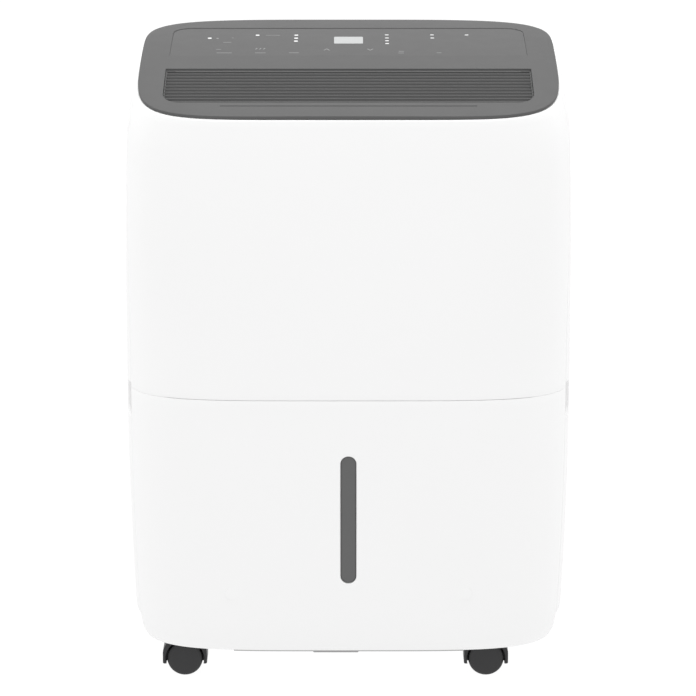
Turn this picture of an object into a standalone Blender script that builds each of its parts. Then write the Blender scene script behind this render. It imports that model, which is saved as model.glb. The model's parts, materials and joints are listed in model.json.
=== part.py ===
"""A portable dehumidifier, built as an assembly of its real pieces.

The frame: +Z is up, -Y is the front, +X is to the right seen from the front, and the
origin is on the floor, under the middle of the casing. Lengths are in metres.
"""

from math import cos, pi, radians, sin, sqrt

import bmesh
import bpy
from mathutils import Vector

# ---------------------------------------------------------------- driving dimensions

# Casing: a squarish oval in plan, widest at its waist.
HALF_WIDTH = 0.1730
HALF_DEPTH = 0.1225
WAIST_Z = 0.220
BARREL_ABOVE = 0.090
BARREL_BELOW = 0.140

# Roundness of the plan: a higher power has squarer corners. The front's corners get
# squarer towards the top, and the back's rounder.
PLAN_POWER = 4.8
FRONT_TOP_POWER = 6.5
BACK_TOP_POWER = 4.0
POWER_CHANGE_Z = (0.250, 0.450)
WALL = 0.0025
GAP = 0.0003

# The casing's lower edge curls inward.
CASING_BOTTOM_Z = 0.0315
TUCK_HEIGHT = 0.026
SIDE_TUCK = 0.0065
FRONT_TUCK = 0.0030

# The casing's shoulder, under the top panel.
SHOULDER_HEIGHT = 0.038
SIDE_SHOULDER = 0.0055
FRONT_SHOULDER = 0.0006
BACK_SHOULDER = 0.0070

# Top panel: it arches from front to back.
PANEL_PEAK_Z = 0.4925
PANEL_PEAK_Y = 0.100
PANEL_CURVE = 0.86
PANEL_SIZES = (0.1598, 0.1155, 0.1070)
PANEL_THICKNESS = 0.0030
LIP_HEIGHT = 0.0033
FRONT_ROLL = 0.0004
BACK_ROLL = 0.0028
PANEL_EDGE = ((0.0, 1.0), (0.0010, 0.55), (0.0040, 0.12))
PANEL_UNDER_SCALES = (0.15, 0.60, 0.94)
PANEL_OVER_SCALES = (0.90, 0.60, 0.30, 0.15)

# The seams: front and rear halves meet at a fixed angle, and the bucket ends at a height.
SIDE_SEAM = radians(26.1)
SEAM_HALF_GAP = radians(0.06)
COLUMN_ANGLE = radians(6.0)
RING_ANGLE = radians(12.0)
BUCKET_SEAM_Z = 0.2348
REAR_BOTTOM_Z = 0.0500

# Rows of points up each wall: shares of its height, or heights on the bucket's front.
FRONT_ROWS = (0.0, 0.3, 0.6, 0.82, 0.9, 0.96, 1.0)
REAR_ROWS = (0.0, 0.012, 0.028, 0.05, 0.15, 0.3, 0.45, 0.6, 0.75, 0.88, 0.93, 0.97, 1.0)
BUCKET_ROWS_Z = (CASING_BOTTOM_Z, 0.0340, 0.0370, 0.0430, 0.0565, 0.1000, 0.1450, 0.1900)

# Cutters of the casing reach from inside its wall to outside it.
SIDE_CUT_X = (0.140, 0.190)
REAR_CUT_Y = (0.095, 0.150)
TOP_CUT_Z = (0.430, 0.500)

# Outlet vent in the top panel.
VENT_FRONT_Y = -0.0966
VENT_BACK_Y = -0.0407
VENT_HALF_WIDTH = 0.1395
VENT_CORNER = (0.0120, 0.0125)
VENT_SLOTS = 11
VENT_RIB_XS = (-0.0700, 0.0, 0.0700)
VENT_DROP = 0.0014
VENT_DEPTH = 0.0075
VENT_RIM = 0.0030
VENT_HALF_RIB = 0.0012
SLOT_START = 0.28
SLOT_SHARE = 0.52
SLOT_CORNER_ROWS = 2.2
SLOT_LEVELS = ((-0.0120, 0.0010), (0.0040, -0.0003))

# Control area on the top panel.
FILM_HALF_WIDTH = 0.1380
FILM_BACK_Y = 0.0615
FILM_FRONT_Y = -0.0140
FILM_CORNER = 0.0160
FILM_BACK_STEP = 0.0011
FILM_THICKNESS = 0.0006
DISPLAY_LOW = (-0.0112, 0.0143)
DISPLAY_HIGH = (0.0114, 0.0332)
DISPLAY_CORNER = 0.0012
DISPLAY_RISE = (0.0002, 0.0006)
LENS_SIZE = (0.0030, 0.0030)
LIGHT_GUIDE_MARGIN = 0.0050
LIGHT_GUIDE_Z = (0.4740, 0.4765)
LIGHT_HEAD_Z = (0.4745, 0.4815)
BOARD_BOX = ((-0.1250, 0.0100, 0.4700), (0.1050, 0.0580, 0.4716))
LENS_PLACES = (
    (-0.1088, 0.0295), (-0.0715, 0.0386),
    (-0.0410, 0.0386), (-0.0410, 0.0296), (-0.0410, 0.0212),
    (0.0302, 0.0396), (0.0302, 0.0302), (0.0302, 0.0222), (0.0302, 0.0147),
    (0.0658, 0.0396), (0.0658, 0.0302),
    (0.0930, 0.0393),
)

# Carry handles: recesses in the sides of the rear shell.
GRIP_Y = -0.0100
GRIP_Z = 0.3920
GRIP_WIDTH = 0.1160
GRIP_HEIGHT = 0.0800
GRIP_RADIUS = 0.0220
GRIP_DEPTH = 0.0220
CUP_LIP_DEPTH = 0.0040
CUP_LIP_WIDTH = 0.0020
CUP_THROAT = 0.0030
CUP_TAPER = (0.0080, 0.0110)
CUP_FLOOR = 0.0020

# Finger notches beside the bucket's front.
NOTCH_LOW_Z = 0.2120
NOTCH_HIGH_Z = 0.2375
NOTCH_FRONT_Y = -0.0900
NOTCH_BACK_Y = -0.0660

# Base pan and deck.
PAN_LOW_Z = 0.0345
PAN_FLOOR_Z = 0.0375
PAN_RIM_Z = 0.0495
PAN_PROFILE = ((PAN_LOW_Z, 0.0060), (0.0360, 0.0040), (PAN_RIM_Z, 0.0035),
               (PAN_RIM_Z, 0.0060), (PAN_FLOOR_Z, 0.0080))
SOCKET_Z = (0.0355, 0.0510)
SOCKET_BORE_Z = (0.0305, 0.0495)
DECK_LOW_Z = 0.2375
DECK_HIGH_Z = 0.2400
DECK_INSET = 0.0045
DECK_CUT_Z = (0.230, 0.250)
DRIP_HOLE_RADIUS = 0.0090
PIPE_HOLE_X = (-0.1450, -0.0900)
PIPE_HOLE_Y = (0.0460, 0.0960)
BAY_WALL_Y = (0.0040, 0.0065)
BAY_WALL_HALF_WIDTH = 0.1600
BAY_WALL_LOW_Z = 0.0515

# Rear intake window, its grille and filter.
WINDOW_HALF_WIDTH = 0.1285
WINDOW_LOW_Z = 0.2740
WINDOW_HIGH_Z = 0.4460
GRILLE_SLOTS = 12
GRILLE_RIB_XS = (-0.0600, 0.0, 0.0600)
GRILLE_GAP = 0.0005
GRILLE_THICKNESS = 0.0026
GRILLE_BORDER = 0.0080
GRILLE_HALF_RIB = 0.0020
GRILLE_STEPS = (0.0260, 0.0900)
FILTER_Y = (0.0990, 0.1040)
FILTER_INSET = (0.0070, 0.0050)
FILTER_BORDER = 0.0070
MESH_THICKNESS = 0.0006

# Fan.
FAN_Z = 0.3350
FAN_RADIUS = 0.0600
FAN_Y = (-0.0880, -0.0440)
SCROLL_Y = (-0.0950, -0.0400)
SCROLL_TOP_Z = 0.4460
SCROLL_TOP_HALF_WIDTH = 0.1280
SCROLL_RADII = (0.0700, 0.0930)
SCROLL_START = radians(125)
SCROLL_TURN = radians(235)
SCROLL_STEPS = 18
SCROLL_WALL = 0.0020
SCROLL_INLET_RADIUS = 0.0540
HUB_RADII = (0.0033, 0.0080)
HUB_LENGTH = 0.0180
FAN_PLATE = 0.0020
BLADE_LENGTH = 0.0035
BLADE_SLOTS = 16
BLADE_SLOT_WIDTH = 0.0150
BLADE_SLOT_RADII = (0.0500, 0.0660)
BLADE_SLOT_Y = (-0.0820, -0.0480)
MOTOR_PROFILE = ((0.0030, -0.0840), (0.0030, -0.0370), (0.0140, -0.0360),
                 (0.0300, -0.0330), (0.0300, -0.0060), (0.0200, -0.0020))
MOTOR_ARMS = ((-0.0780, -0.0385, 0.3290), (0.0780, -0.0340, 0.3410))

# Cooling circuit.
BULKHEAD_BOX = ((-0.1420, 0.0360, 0.2530), (0.1420, 0.0385, 0.4700))
BULKHEAD_OPENING = (0.190, 0.150, 0.020)
BULKHEAD_OPENING_XZ = (-0.0075, 0.3525)
BULKHEAD_CUT_Y = (0.030, 0.045)
COIL_X = (-0.1200, 0.1050)
COIL_Z = (0.2650, 0.4400)
CONDENSER_Y = (0.0430, 0.0660)
EVAPORATOR_Y = (0.0715, 0.0960)
COIL_PLATE = 0.0030
COIL_PLATE_MARGIN = 0.0010
COIL_BLOCK_INSET = 0.0020
BEND_ZS = (0.2910, 0.3325, 0.3740, 0.4155)
BEND_SIZE = (0.0220, 0.0260, 0.0090)
BEND_HALF_WIDTH = 0.0040
TRAY_Z = (0.2435, 0.2620)
TRAY_SIZE = (0.2300, 0.0580, 0.0060)
TRAY_XY = (-0.0070, 0.0730)
TRAY_WALL = 0.0020
CHANNEL_BOX = ((-0.0120, -0.0340, 0.2435), (0.0120, 0.0455, 0.2500))
TROUGH_BOX = ((-0.0100, -0.0320, 0.2455), (0.0100, 0.0500, 0.2735))
SPOUT_Z = (0.2335, 0.2445)
SPOUT_RADII = (0.0050, 0.0070)
SPOUT_BORE_Z = (0.2275, 0.2475)

# Compressor: a turned shell with an accumulator beside it, on a plate with rubber pads.
COMPRESSOR_XY = (-0.0600, 0.0580)
COMPRESSOR_PROFILE = ((0.0400, 0.0505), (0.0440, 0.0580), (0.0440, 0.1550), (0.0400, 0.1730),
                      (0.0280, 0.1870), (0.0100, 0.1930))
ACCUMULATOR_XY = (0.0030, 0.0580)
ACCUMULATOR_PROFILE = ((0.0060, 0.0880), (0.0160, 0.0980), (0.0160, 0.1900), (0.0060, 0.2060))
LINK_YZ = (0.0580, 0.1200)
LINK_RADIUS = 0.0050
LINK_X = (-0.0300, 0.0030)
FOOT_RADIUS = 0.0528
FOOT_SPREAD = radians(10.2)
FOOT_Z = (0.0495, 0.0525)
FOOT_ANGLES = (radians(90), radians(210), radians(330))
PAD_DISTANCE = 0.0440
PAD_RADIUS = 0.0055
PAD_Z = (0.0390, 0.0492)
MOUNT_RADII = (0.0380, 0.0500)
MOUNT_TOP_Z = 0.0400

# Copper pipes.
PIPE_RADIUS = 0.0030
CAPILLARY_RADIUS = 0.0012
DISCHARGE_PATH = (
    (-0.0750, 0.0580, 0.1945), (-0.0750, 0.0580, 0.2120), (-0.0800, 0.0580, 0.2180),
    (-0.1230, 0.0545, 0.2250), (-0.1310, 0.0545, 0.2320), (-0.1310, 0.0545, 0.4200),
    (-0.1270, 0.0545, 0.4280), (-0.1205, 0.0545, 0.4280),
)
SUCTION_PATH = (
    (0.0030, 0.0580, 0.2068), (0.0030, 0.0580, 0.2130), (-0.0050, 0.0620, 0.2190),
    (-0.1200, 0.0840, 0.2240), (-0.1310, 0.0838, 0.2300), (-0.1340, 0.0838, 0.2450),
    (-0.1340, 0.0838, 0.3920), (-0.1290, 0.0838, 0.4000), (-0.1205, 0.0838, 0.4000),
)
CAPILLARY_PATH = (
    (-0.1205, 0.0545, 0.2800), (-0.1240, 0.0545, 0.2800), (-0.1270, 0.0585, 0.2810),
    (-0.1285, 0.0690, 0.2850), (-0.1270, 0.0798, 0.2890), (-0.1240, 0.0838, 0.2900),
    (-0.1205, 0.0838, 0.2900),
)

# Electrical parts.
CAPACITOR_XY = (0.0280, 0.0860)
CAPACITOR_PROFILE = ((0.0160, 0.0380), (0.0180, 0.0400), (0.0180, 0.0960), (0.0120, 0.0980),
                     (0.0040, 0.1020))
ELECTRICAL_SIZE = (0.0880, 0.1300, 0.0060)
ELECTRICAL_XZ = (0.0920, 0.1190)
ELECTRICAL_Y = (0.0250, 0.0900)
HUMIDITY_SENSOR_BOX = ((0.1140, 0.0860, 0.4300), (0.1230, 0.0960, 0.4450))
BUCKET_SENSOR_BOX = ((0.1060, 0.0068, 0.1450), (0.1260, 0.0150, 0.1650))

# Bucket.
TUB_SIZE = (0.2920, 0.1110)
TUB_Y = -0.0555
TUB_Z = (0.0535, 0.1900)
TUB_RADIUS = 0.0300
TUB_WALL = 0.0020
TUB_DRAFT = 0.0030
TUB_FOOT = 0.0040
TUB_FLOOR = 0.0020
LID_Z = (0.1903, 0.1935)
LID_INSET = 0.0005
LID_CUT_Z = (0.1850, 0.1985)
LID_HOLE_RADIUS = 0.0180
LUG_X = (0.1021, 0.1081)
LUG_Y = (-0.0600, -0.0500)
LUG_Z = (0.1925, 0.2030)
LUG_BORE_X = (0.0995, 0.1065)
BOSS_XS = (-0.0900, 0.0900)
BOSS_ZS = (0.0800, 0.1650)
BOSS_RADIUS = 0.0050
BOSS_Y = (-0.1188, -0.1114)
TAB_OUTLINE = ((-0.0286, 0.0340), (-0.0270, 0.0308), (0.0075, 0.0308), (0.0091, 0.0340))
TAB_Y = (-0.1145, -0.1135)
WINDOW_Y = (-0.1210, -0.1114)
WINDOW_CUT_Y = (-0.1300, -0.1120)
WINDOW_SLOT_WIDTH = 0.0122
WINDOW_SLOT_Z = (0.0882, 0.1908)
HANDLE_PIVOT = (0.0, -0.0550, 0.1990)
HANDLE_HALF_WIDTH = 0.1015
HANDLE_REACH = 0.0350
HANDLE_BAR = 0.0050
HANDLE_HEEL = 0.0030
HANDLE_CHAMFERS = (0.0040, 0.0050)
HANDLE_PIN_RADIUS = 0.0020
HANDLE_PIN_X = (0.0995, 0.1061)
PIN_CLEARANCE = 0.0002
FLOAT_XY = (0.1150, -0.0600)
FLOAT_SIZE = (0.0340, 0.0440, 0.0060)
FLOAT_Z = (0.0570, 0.0770)
DRIP_XY = (0.0, -0.0220)

# Rear fittings.
DRAIN_XZ = (-0.0950, 0.2530)
DRAIN_RADIUS = 0.0070
DRAIN_BORE_RADIUS = 0.0060
DRAIN_Y = (0.1010, 0.1145)
DRAIN_BORE_Y = (0.0960, 0.1260)
CAP_HOLE_RADIUS = 0.0155
CAP_RADII = (0.0074, 0.0120, 0.0128)
CAP_FRONT_Y = 0.1080
CAP_FLOOR_Y = 0.1170
CAP_BACK_Y = (0.1190, 0.1200)
GLAND_XZ = (0.0600, 0.0750)
GLAND_HOLE_RADIUS = 0.0078
GLAND_PROFILE = ((0.0042, -0.0090), (0.0070, -0.0090), (0.0074, -0.0030), (0.0074, 0.0006),
                 (0.0105, 0.0008), (0.0095, 0.0024), (0.0042, 0.0024))

# Casters: twin wheels under a hood, trailing to the left.
CASTER_X = 0.1185
CASTER_Y = 0.0740
CASTER_TRAIL = 0.0102
WHEEL_RADIUS = 0.0140
WHEEL_HALF_WIDTH = 0.0038
WHEEL_OFFSET = 0.0074
AXLE_RADIUS = 0.0020
HOOD_HALF_LENGTH = 0.0174
HOOD_HALF_WIDTH = 0.0112
HOOD_Z = (0.0098, 0.0302)
HOOD_CORNER = 0.0120
HOOD_POCKET_RADIUS = 0.0152
HOOD_POCKET_REACH = 0.0140
HOOD_WEB = 0.0032
HOOD_BORE_REACH = 0.0060
HOOD_STEM_HOLE_RADIUS = 0.0021
HOOD_STEM_HOLE_Z = (0.0230, 0.0340)
STEM_RADIUS = 0.0037
STEM_PROFILE = ((0.0018, 0.0235), (0.0018, 0.0304), (0.0055, 0.0306), (0.0055, 0.0318),
                (STEM_RADIUS, 0.0320), (STEM_RADIUS, 0.0440), (0.0025, 0.0452))
SOCKET_RADIUS = 0.0075
AXLE_HALF_LENGTH = 0.0080
WHEEL_FIT = 0.00015
WHEEL_FACE_RADIUS = 0.0120
WHEEL_EDGE = ((0.0008, 0.0010), (0.0, 0.0026))
WHEEL_INNER_CHAMFER = 0.0008
WHEEL_HUB_DEPTH = 0.0024

ROUND_SIDES = 24
SMALL_SIDES = 12


# ---------------------------------------------------------------- scene and materials

def clear_scene():
    for item in list(bpy.data.objects):
        bpy.data.objects.remove(item, do_unlink=True)


def material(name, color, roughness, metallic=0.0):
    found = bpy.data.materials.get(name)
    if found:
        return found
    made = bpy.data.materials.new(name)
    made.use_nodes = True
    shader = made.node_tree.nodes["Principled BSDF"]
    shader.inputs["Base Color"].default_value = (*color, 1.0)
    shader.inputs["Roughness"].default_value = roughness
    shader.inputs["Metallic"].default_value = metallic
    return made


def white_plastic():
    return material("white_plastic", (0.88, 0.88, 0.87), 0.45)


def panel_plastic():
    return material("panel_plastic", (0.22, 0.22, 0.22), 0.50)


def vent_plastic():
    return material("vent_plastic", (0.14, 0.14, 0.14), 0.55)


def film_plastic():
    return material("film_plastic", (0.23, 0.23, 0.23), 0.40)


def display_plastic():
    return material("display_plastic", (0.72, 0.73, 0.73), 0.30)


def lens_plastic():
    return material("lens_plastic", (0.90, 0.90, 0.90), 0.30)


def smoked_plastic():
    return material("smoked_plastic", (0.13, 0.13, 0.13), 0.25)


def inner_plastic():
    return material("inner_plastic", (0.55, 0.56, 0.57), 0.60)


def bucket_plastic():
    return material("bucket_plastic", (0.80, 0.82, 0.84), 0.35)


def caster_plastic():
    return material("caster_plastic", (0.035, 0.035, 0.038), 0.45)


def wheel_plastic():
    return material("wheel_plastic", (0.06, 0.06, 0.065), 0.50)


def black_paint():
    return material("black_paint", (0.03, 0.03, 0.03), 0.40, 0.2)


def fin_aluminium():
    return material("fin_aluminium", (0.75, 0.76, 0.78), 0.35, 1.0)


def copper():
    return material("copper", (0.75, 0.38, 0.22), 0.30, 1.0)


def steel():
    return material("steel", (0.60, 0.60, 0.62), 0.30, 1.0)


def rubber():
    return material("rubber", (0.03, 0.03, 0.03), 0.80)


def board_green():
    return material("board_green", (0.04, 0.22, 0.09), 0.50)


def filter_fabric():
    return material("filter_fabric", (0.08, 0.08, 0.09), 0.90)


# ---------------------------------------------------------------- outlines

def circle(radius, sides):
    return [(radius * cos(2 * pi * k / sides), radius * sin(2 * pi * k / sides))
            for k in range(sides)]


def rounded_rectangle(width, height, radius, steps=4):
    """Points of a rectangle with round corners, centred on (0, 0), going anticlockwise."""
    points = []
    for corner in range(4):
        start = corner * pi / 2
        centre_u = (width / 2 - radius) * (1 if corner in (0, 3) else -1)
        centre_v = (height / 2 - radius) * (1 if corner in (0, 1) else -1)
        for step in range(steps + 1):
            angle = start + step * pi / 2 / steps
            points.append((centre_u + radius * cos(angle), centre_v + radius * sin(angle)))
    return points


def moved(outline, u, v):
    return [(point[0] + u, point[1] + v) for point in outline]


def vent_outline(margin):
    """The vent's opening in plan, drawn in by a margin: square behind, round in front."""
    half = VENT_HALF_WIDTH - margin
    front = VENT_FRONT_Y + margin
    back = VENT_BACK_Y - margin
    points = [(half, back), (-half, back)]
    for side in (-1, 1):
        arc = []
        for step in range(5):
            angle = step * pi / 8
            arc.append((side * (half - VENT_CORNER[0] + VENT_CORNER[0] * cos(angle)),
                        front + VENT_CORNER[1] - VENT_CORNER[1] * sin(angle)))
        points += arc if side < 0 else reversed(arc)
    return points


def film_outline(margin):
    """The control area in plan: its back corners are round, its front ones square."""
    half = FILM_HALF_WIDTH - margin
    front = FILM_FRONT_Y + margin
    back = FILM_BACK_Y - margin
    points = [(-half, front), (half, front)]
    for side in (1, -1):
        arc = []
        for step in range(6):
            angle = step * pi / 10
            arc.append((side * (half - FILM_CORNER + FILM_CORNER * cos(angle)),
                        back - FILM_CORNER + FILM_CORNER * sin(angle)))
        points += arc if side > 0 else reversed(arc)
    return points


def scroll_outline(margin):
    """The fan's volute in the XZ plane: a spiral that opens into a flared duct."""
    small, large = SCROLL_RADII
    top = SCROLL_TOP_HALF_WIDTH - margin
    points = [(top, SCROLL_TOP_Z), (-top, SCROLL_TOP_Z)]
    for step in range(SCROLL_STEPS + 1):
        part = step / SCROLL_STEPS
        angle = SCROLL_START + part * SCROLL_TURN
        radius = small + (large - small) * part - margin
        points.append((radius * cos(angle), FAN_Z + radius * sin(angle)))
    return points


# ---------------------------------------------------------------- casing surface

def barrel_drop(z):
    rate = BARREL_ABOVE if z > WAIST_Z else BARREL_BELOW
    return rate * (z - WAIST_Z) ** 2


def bottom_tuck(z):
    part = (CASING_BOTTOM_Z + TUCK_HEIGHT - z) / TUCK_HEIGHT
    part = min(max(part, 0.0), 1.0)
    return 1.0 - sqrt(1.0 - part * part)


def casing_sizes(z, below_edge=1.0, inset=0.0):
    """Half width, front half depth and back half depth of the casing at a height."""
    drop = barrel_drop(z) + inset
    tuck = bottom_tuck(z)
    shoulder = max(0.0, 1.0 - below_edge / SHOULDER_HEIGHT) ** 2
    return (HALF_WIDTH - drop - SIDE_TUCK * tuck - SIDE_SHOULDER * shoulder,
            HALF_DEPTH - drop - FRONT_TUCK * tuck - FRONT_SHOULDER * shoulder,
            HALF_DEPTH - drop - FRONT_TUCK * tuck - BACK_SHOULDER * shoulder)


def plan_power(z, at_back):
    low, high = POWER_CHANGE_Z
    part = min(max((z - low) / (high - low), 0.0), 1.0)
    part = part * part * (3 - 2 * part)
    top = BACK_TOP_POWER if at_back else FRONT_TOP_POWER
    return PLAN_POWER + (top - PLAN_POWER) * part


def plan_point(sizes, angle, z):
    """The point of the casing's oval at a height that lies in the direction of the angle."""
    across = cos(angle)
    along = sin(angle)
    half_depth = sizes[2] if along > 0 else sizes[1]
    power = plan_power(z, along > 0)
    total = abs(across / sizes[0]) ** power + abs(along / half_depth) ** power
    radius = total ** (-1 / power)
    return radius * across, radius * along


def panel_height(y):
    return PANEL_PEAK_Z - PANEL_CURVE * (y - PANEL_PEAK_Y) ** 2


def edge_height(angle):
    """Height of the casing's upper edge, just under the top panel."""
    return panel_height(plan_point(PANEL_SIZES, angle, PANEL_PEAK_Z)[1]) - LIP_HEIGHT


def casing_point(angle, z, inset=0.0):
    sizes = casing_sizes(z, edge_height(angle) - z, inset)
    return (*plan_point(sizes, angle, z), z)


def back_y(x, z, inset=0.0):
    half_width, _, half_depth = casing_sizes(z, inset=inset)
    power = plan_power(z, True)
    return half_depth * (1 - abs(x / half_width) ** power) ** (1 / power)


def side_x(y, z, inset=0.0):
    half_width, front, back = casing_sizes(z, inset=inset)
    half_depth = back if y > 0 else front
    power = plan_power(z, y > 0)
    return half_width * (1 - abs(y / half_depth) ** power) ** (1 / power)


def steps_between(start, end, size):
    count = max(1, round(abs(end - start) / size))
    return [start + (end - start) * k / count for k in range(count + 1)]


# ---------------------------------------------------------------- solids

def place(axis, u, v, w):
    """A point from two coordinates across an axis and one along it."""
    return {"x": (w, u, v), "y": (u, w, v), "z": (u, v, w)}[axis]


def add_loft(shape, rings, closed=False):
    """Joins rings of points with faces; the end rings are filled unless it closes on itself."""
    loops = [[shape.verts.new(point) for point in ring] for ring in rings]
    pairs = list(zip(loops, loops[1:]))
    if closed:
        pairs.append((loops[-1], loops[0]))
    for lower, upper in pairs:
        for k in range(len(lower)):
            after = (k + 1) % len(lower)
            shape.faces.new((lower[k], lower[after], upper[after], upper[k]))
    if not closed:
        shape.faces.new(loops[0])
        shape.faces.new(loops[-1])


def add_prism(shape, axis, outline, low, high):
    add_loft(shape, [[place(axis, u, v, w) for u, v in outline] for w in (low, high)])


def add_box(shape, low, high):
    corners = [(low[0], low[1]), (high[0], low[1]), (high[0], high[1]), (low[0], high[1])]
    add_prism(shape, "z", corners, low[2], high[2])


def add_rod(shape, axis, centre, radius, low, high, sides=SMALL_SIDES):
    add_prism(shape, axis, moved(circle(radius, sides), *centre), low, high)


def add_turned(shape, axis, centre, profile, sides=ROUND_SIDES, closed=False):
    """A turned solid from (radius, position along the axis) pairs."""
    rings = []
    for radius, along in profile:
        outline = moved(circle(radius, sides), *centre)
        rings.append([place(axis, u, v, along) for u, v in outline])
    add_loft(shape, rings, closed)


def add_grid_solid(shape, columns, rows, outer, inner):
    """A sheet with thickness between two surfaces, each a function of column and row."""
    sides = []
    for surface in (outer, inner):
        sides.append([[shape.verts.new(surface(u, v)) for v in rows] for u in columns])
    last_u = len(columns) - 1
    last_v = len(rows) - 1
    for grid in sides:
        for i in range(last_u):
            for j in range(last_v):
                shape.faces.new((grid[i][j], grid[i + 1][j], grid[i + 1][j + 1], grid[i][j + 1]))
    front, back = sides
    for i in range(last_u):
        for j in (0, last_v):
            shape.faces.new((front[i][j], front[i + 1][j], back[i + 1][j], back[i][j]))
    for j in range(last_v):
        for i in (0, last_u):
            shape.faces.new((front[i][j], front[i][j + 1], back[i][j + 1], back[i][j]))


def finish(name, shape, surface, pivot=(0.0, 0.0, 0.0)):
    """Turns a bmesh into an object whose origin is at the pivot."""
    bmesh.ops.recalc_face_normals(shape, faces=shape.faces)
    bmesh.ops.translate(shape, verts=shape.verts, vec=-Vector(pivot))
    mesh = bpy.data.meshes.new(name)
    shape.to_mesh(mesh)
    shape.free()
    mesh.shade_smooth()
    mesh.set_sharp_from_angle(angle=radians(35))
    mesh.materials.append(surface)
    made = bpy.data.objects.new(name, mesh)
    made.location = pivot
    bpy.context.scene.collection.objects.link(made)
    return made


def combine(target, operation, shape, label):
    """Cuts a shape out of an object, or unites it with the object."""
    tool = finish(target.name + "_" + label, shape, inner_plastic())
    tool.display_type = "WIRE"
    tool.hide_render = True
    modifier = target.modifiers.new(label, "BOOLEAN")
    modifier.operation = operation
    modifier.solver = "EXACT"
    modifier.object = tool


def cut(target, shape, label="cutter"):
    combine(target, "DIFFERENCE", shape, label)


def unite(target, shape, label="addition"):
    combine(target, "UNION", shape, label)


# ---------------------------------------------------------------- casing

def casing_height(angle, row, low_z):
    """Height of a row at an angle, from a level bottom to the casing's sloping upper edge."""
    return low_z + row * (edge_height(angle) - low_z)


def build_casing_segment(name, start, end, low_z, rows):
    """A wall of the casing between two angles; its rows are shares of the way up."""
    def surface(inset):
        return lambda angle, row: casing_point(angle, casing_height(angle, row, low_z), inset)

    columns = steps_between(start, end, COLUMN_ANGLE)
    shape = bmesh.new()
    add_grid_solid(shape, columns, rows, surface(0.0), surface(WALL))
    return finish(name, shape, white_plastic())


def casing_ring(z, inset):
    """Points all round the casing at a height, for the plates inside it."""
    return [casing_point(angle, z, inset) for angle in steps_between(-pi, pi, RING_ANGLE)[:-1]]


def build_front_cover():
    start = -pi + SIDE_SEAM + SEAM_HALF_GAP
    end = -SIDE_SEAM - SEAM_HALF_GAP
    build_casing_segment("front_cover", start, end, BUCKET_SEAM_Z + GAP, FRONT_ROWS)


def grip_outline(margin):
    outline = rounded_rectangle(GRIP_WIDTH - 2 * margin, GRIP_HEIGHT - 2 * margin,
                                GRIP_RADIUS - margin)
    return moved(outline, GRIP_Y, GRIP_Z)


def rear_shell_openings():
    """Cutters for the intake, the grips, the finger notches, the drain and the cord inlet."""
    shape = bmesh.new()
    add_box(shape, (-WINDOW_HALF_WIDTH, REAR_CUT_Y[0], WINDOW_LOW_Z),
            (WINDOW_HALF_WIDTH, REAR_CUT_Y[1], WINDOW_HIGH_Z))
    for side in (-1, 1):
        near, far = (side * x for x in SIDE_CUT_X)
        add_prism(shape, "x", grip_outline(0.0), near, far)
        add_box(shape, (near, NOTCH_FRONT_Y, NOTCH_LOW_Z), (far, NOTCH_BACK_Y, NOTCH_HIGH_Z))
    add_rod(shape, "y", DRAIN_XZ, CAP_HOLE_RADIUS, *REAR_CUT_Y, ROUND_SIDES)
    add_rod(shape, "y", GLAND_XZ, GLAND_HOLE_RADIUS, *REAR_CUT_Y)
    return shape


def build_rear_shell():
    start = -SIDE_SEAM + SEAM_HALF_GAP
    end = pi + SIDE_SEAM - SEAM_HALF_GAP
    shell = build_casing_segment("rear_shell", start, end, REAR_BOTTOM_Z, REAR_ROWS)
    cut(shell, rear_shell_openings(), "openings")


def build_carry_handle(name, side):
    """A cup set in the side of the rear shell, to take the fingers."""
    floor_x = side_x(GRIP_Y, GRIP_Z) - GRIP_DEPTH

    def ring(margin, inset):
        return [(side * side_x(y, z, inset), y, z) for y, z in grip_outline(margin)]

    def floor(margin, depth):
        return [(side * (floor_x - depth), y, z) for y, z in grip_outline(margin)]

    shape = bmesh.new()
    add_loft(shape, [floor(CUP_TAPER[0], CUP_FLOOR), ring(GAP, CUP_LIP_DEPTH), ring(GAP, GAP),
                     ring(CUP_LIP_WIDTH, GAP), ring(CUP_THROAT, CUP_LIP_DEPTH),
                     floor(CUP_TAPER[1], 0.0)])
    finish(name, shape, white_plastic())


def build_base_pan():
    shape = bmesh.new()
    add_loft(shape, [casing_ring(z, inset) for z, inset in PAN_PROFILE])
    pan = finish("base_pan", shape, inner_plastic())
    sockets = bmesh.new()
    bores = bmesh.new()
    for centre in caster_places():
        add_rod(sockets, "z", centre, SOCKET_RADIUS, *SOCKET_Z)
        add_rod(bores, "z", centre, STEM_RADIUS + GAP, *SOCKET_BORE_Z)
    unite(pan, sockets, "sockets")
    cut(pan, bores, "bores")


def build_mid_deck():
    shape = bmesh.new()
    add_loft(shape, [casing_ring(z, DECK_INSET) for z in (DECK_LOW_Z, DECK_HIGH_Z)])
    deck = finish("mid_deck", shape, inner_plastic())
    holes = bmesh.new()
    low, high = DECK_CUT_Z
    add_rod(holes, "z", DRIP_XY, DRIP_HOLE_RADIUS, low, high)
    add_box(holes, (PIPE_HOLE_X[0], PIPE_HOLE_Y[0], low), (PIPE_HOLE_X[1], PIPE_HOLE_Y[1], high))
    cut(deck, holes, "holes")


def build_bay_wall():
    shape = bmesh.new()
    add_box(shape, (-BAY_WALL_HALF_WIDTH, BAY_WALL_Y[0], BAY_WALL_LOW_Z),
            (BAY_WALL_HALF_WIDTH, BAY_WALL_Y[1], DECK_LOW_Z - GAP))
    finish("bay_wall", shape, inner_plastic())


# ---------------------------------------------------------------- top

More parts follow.
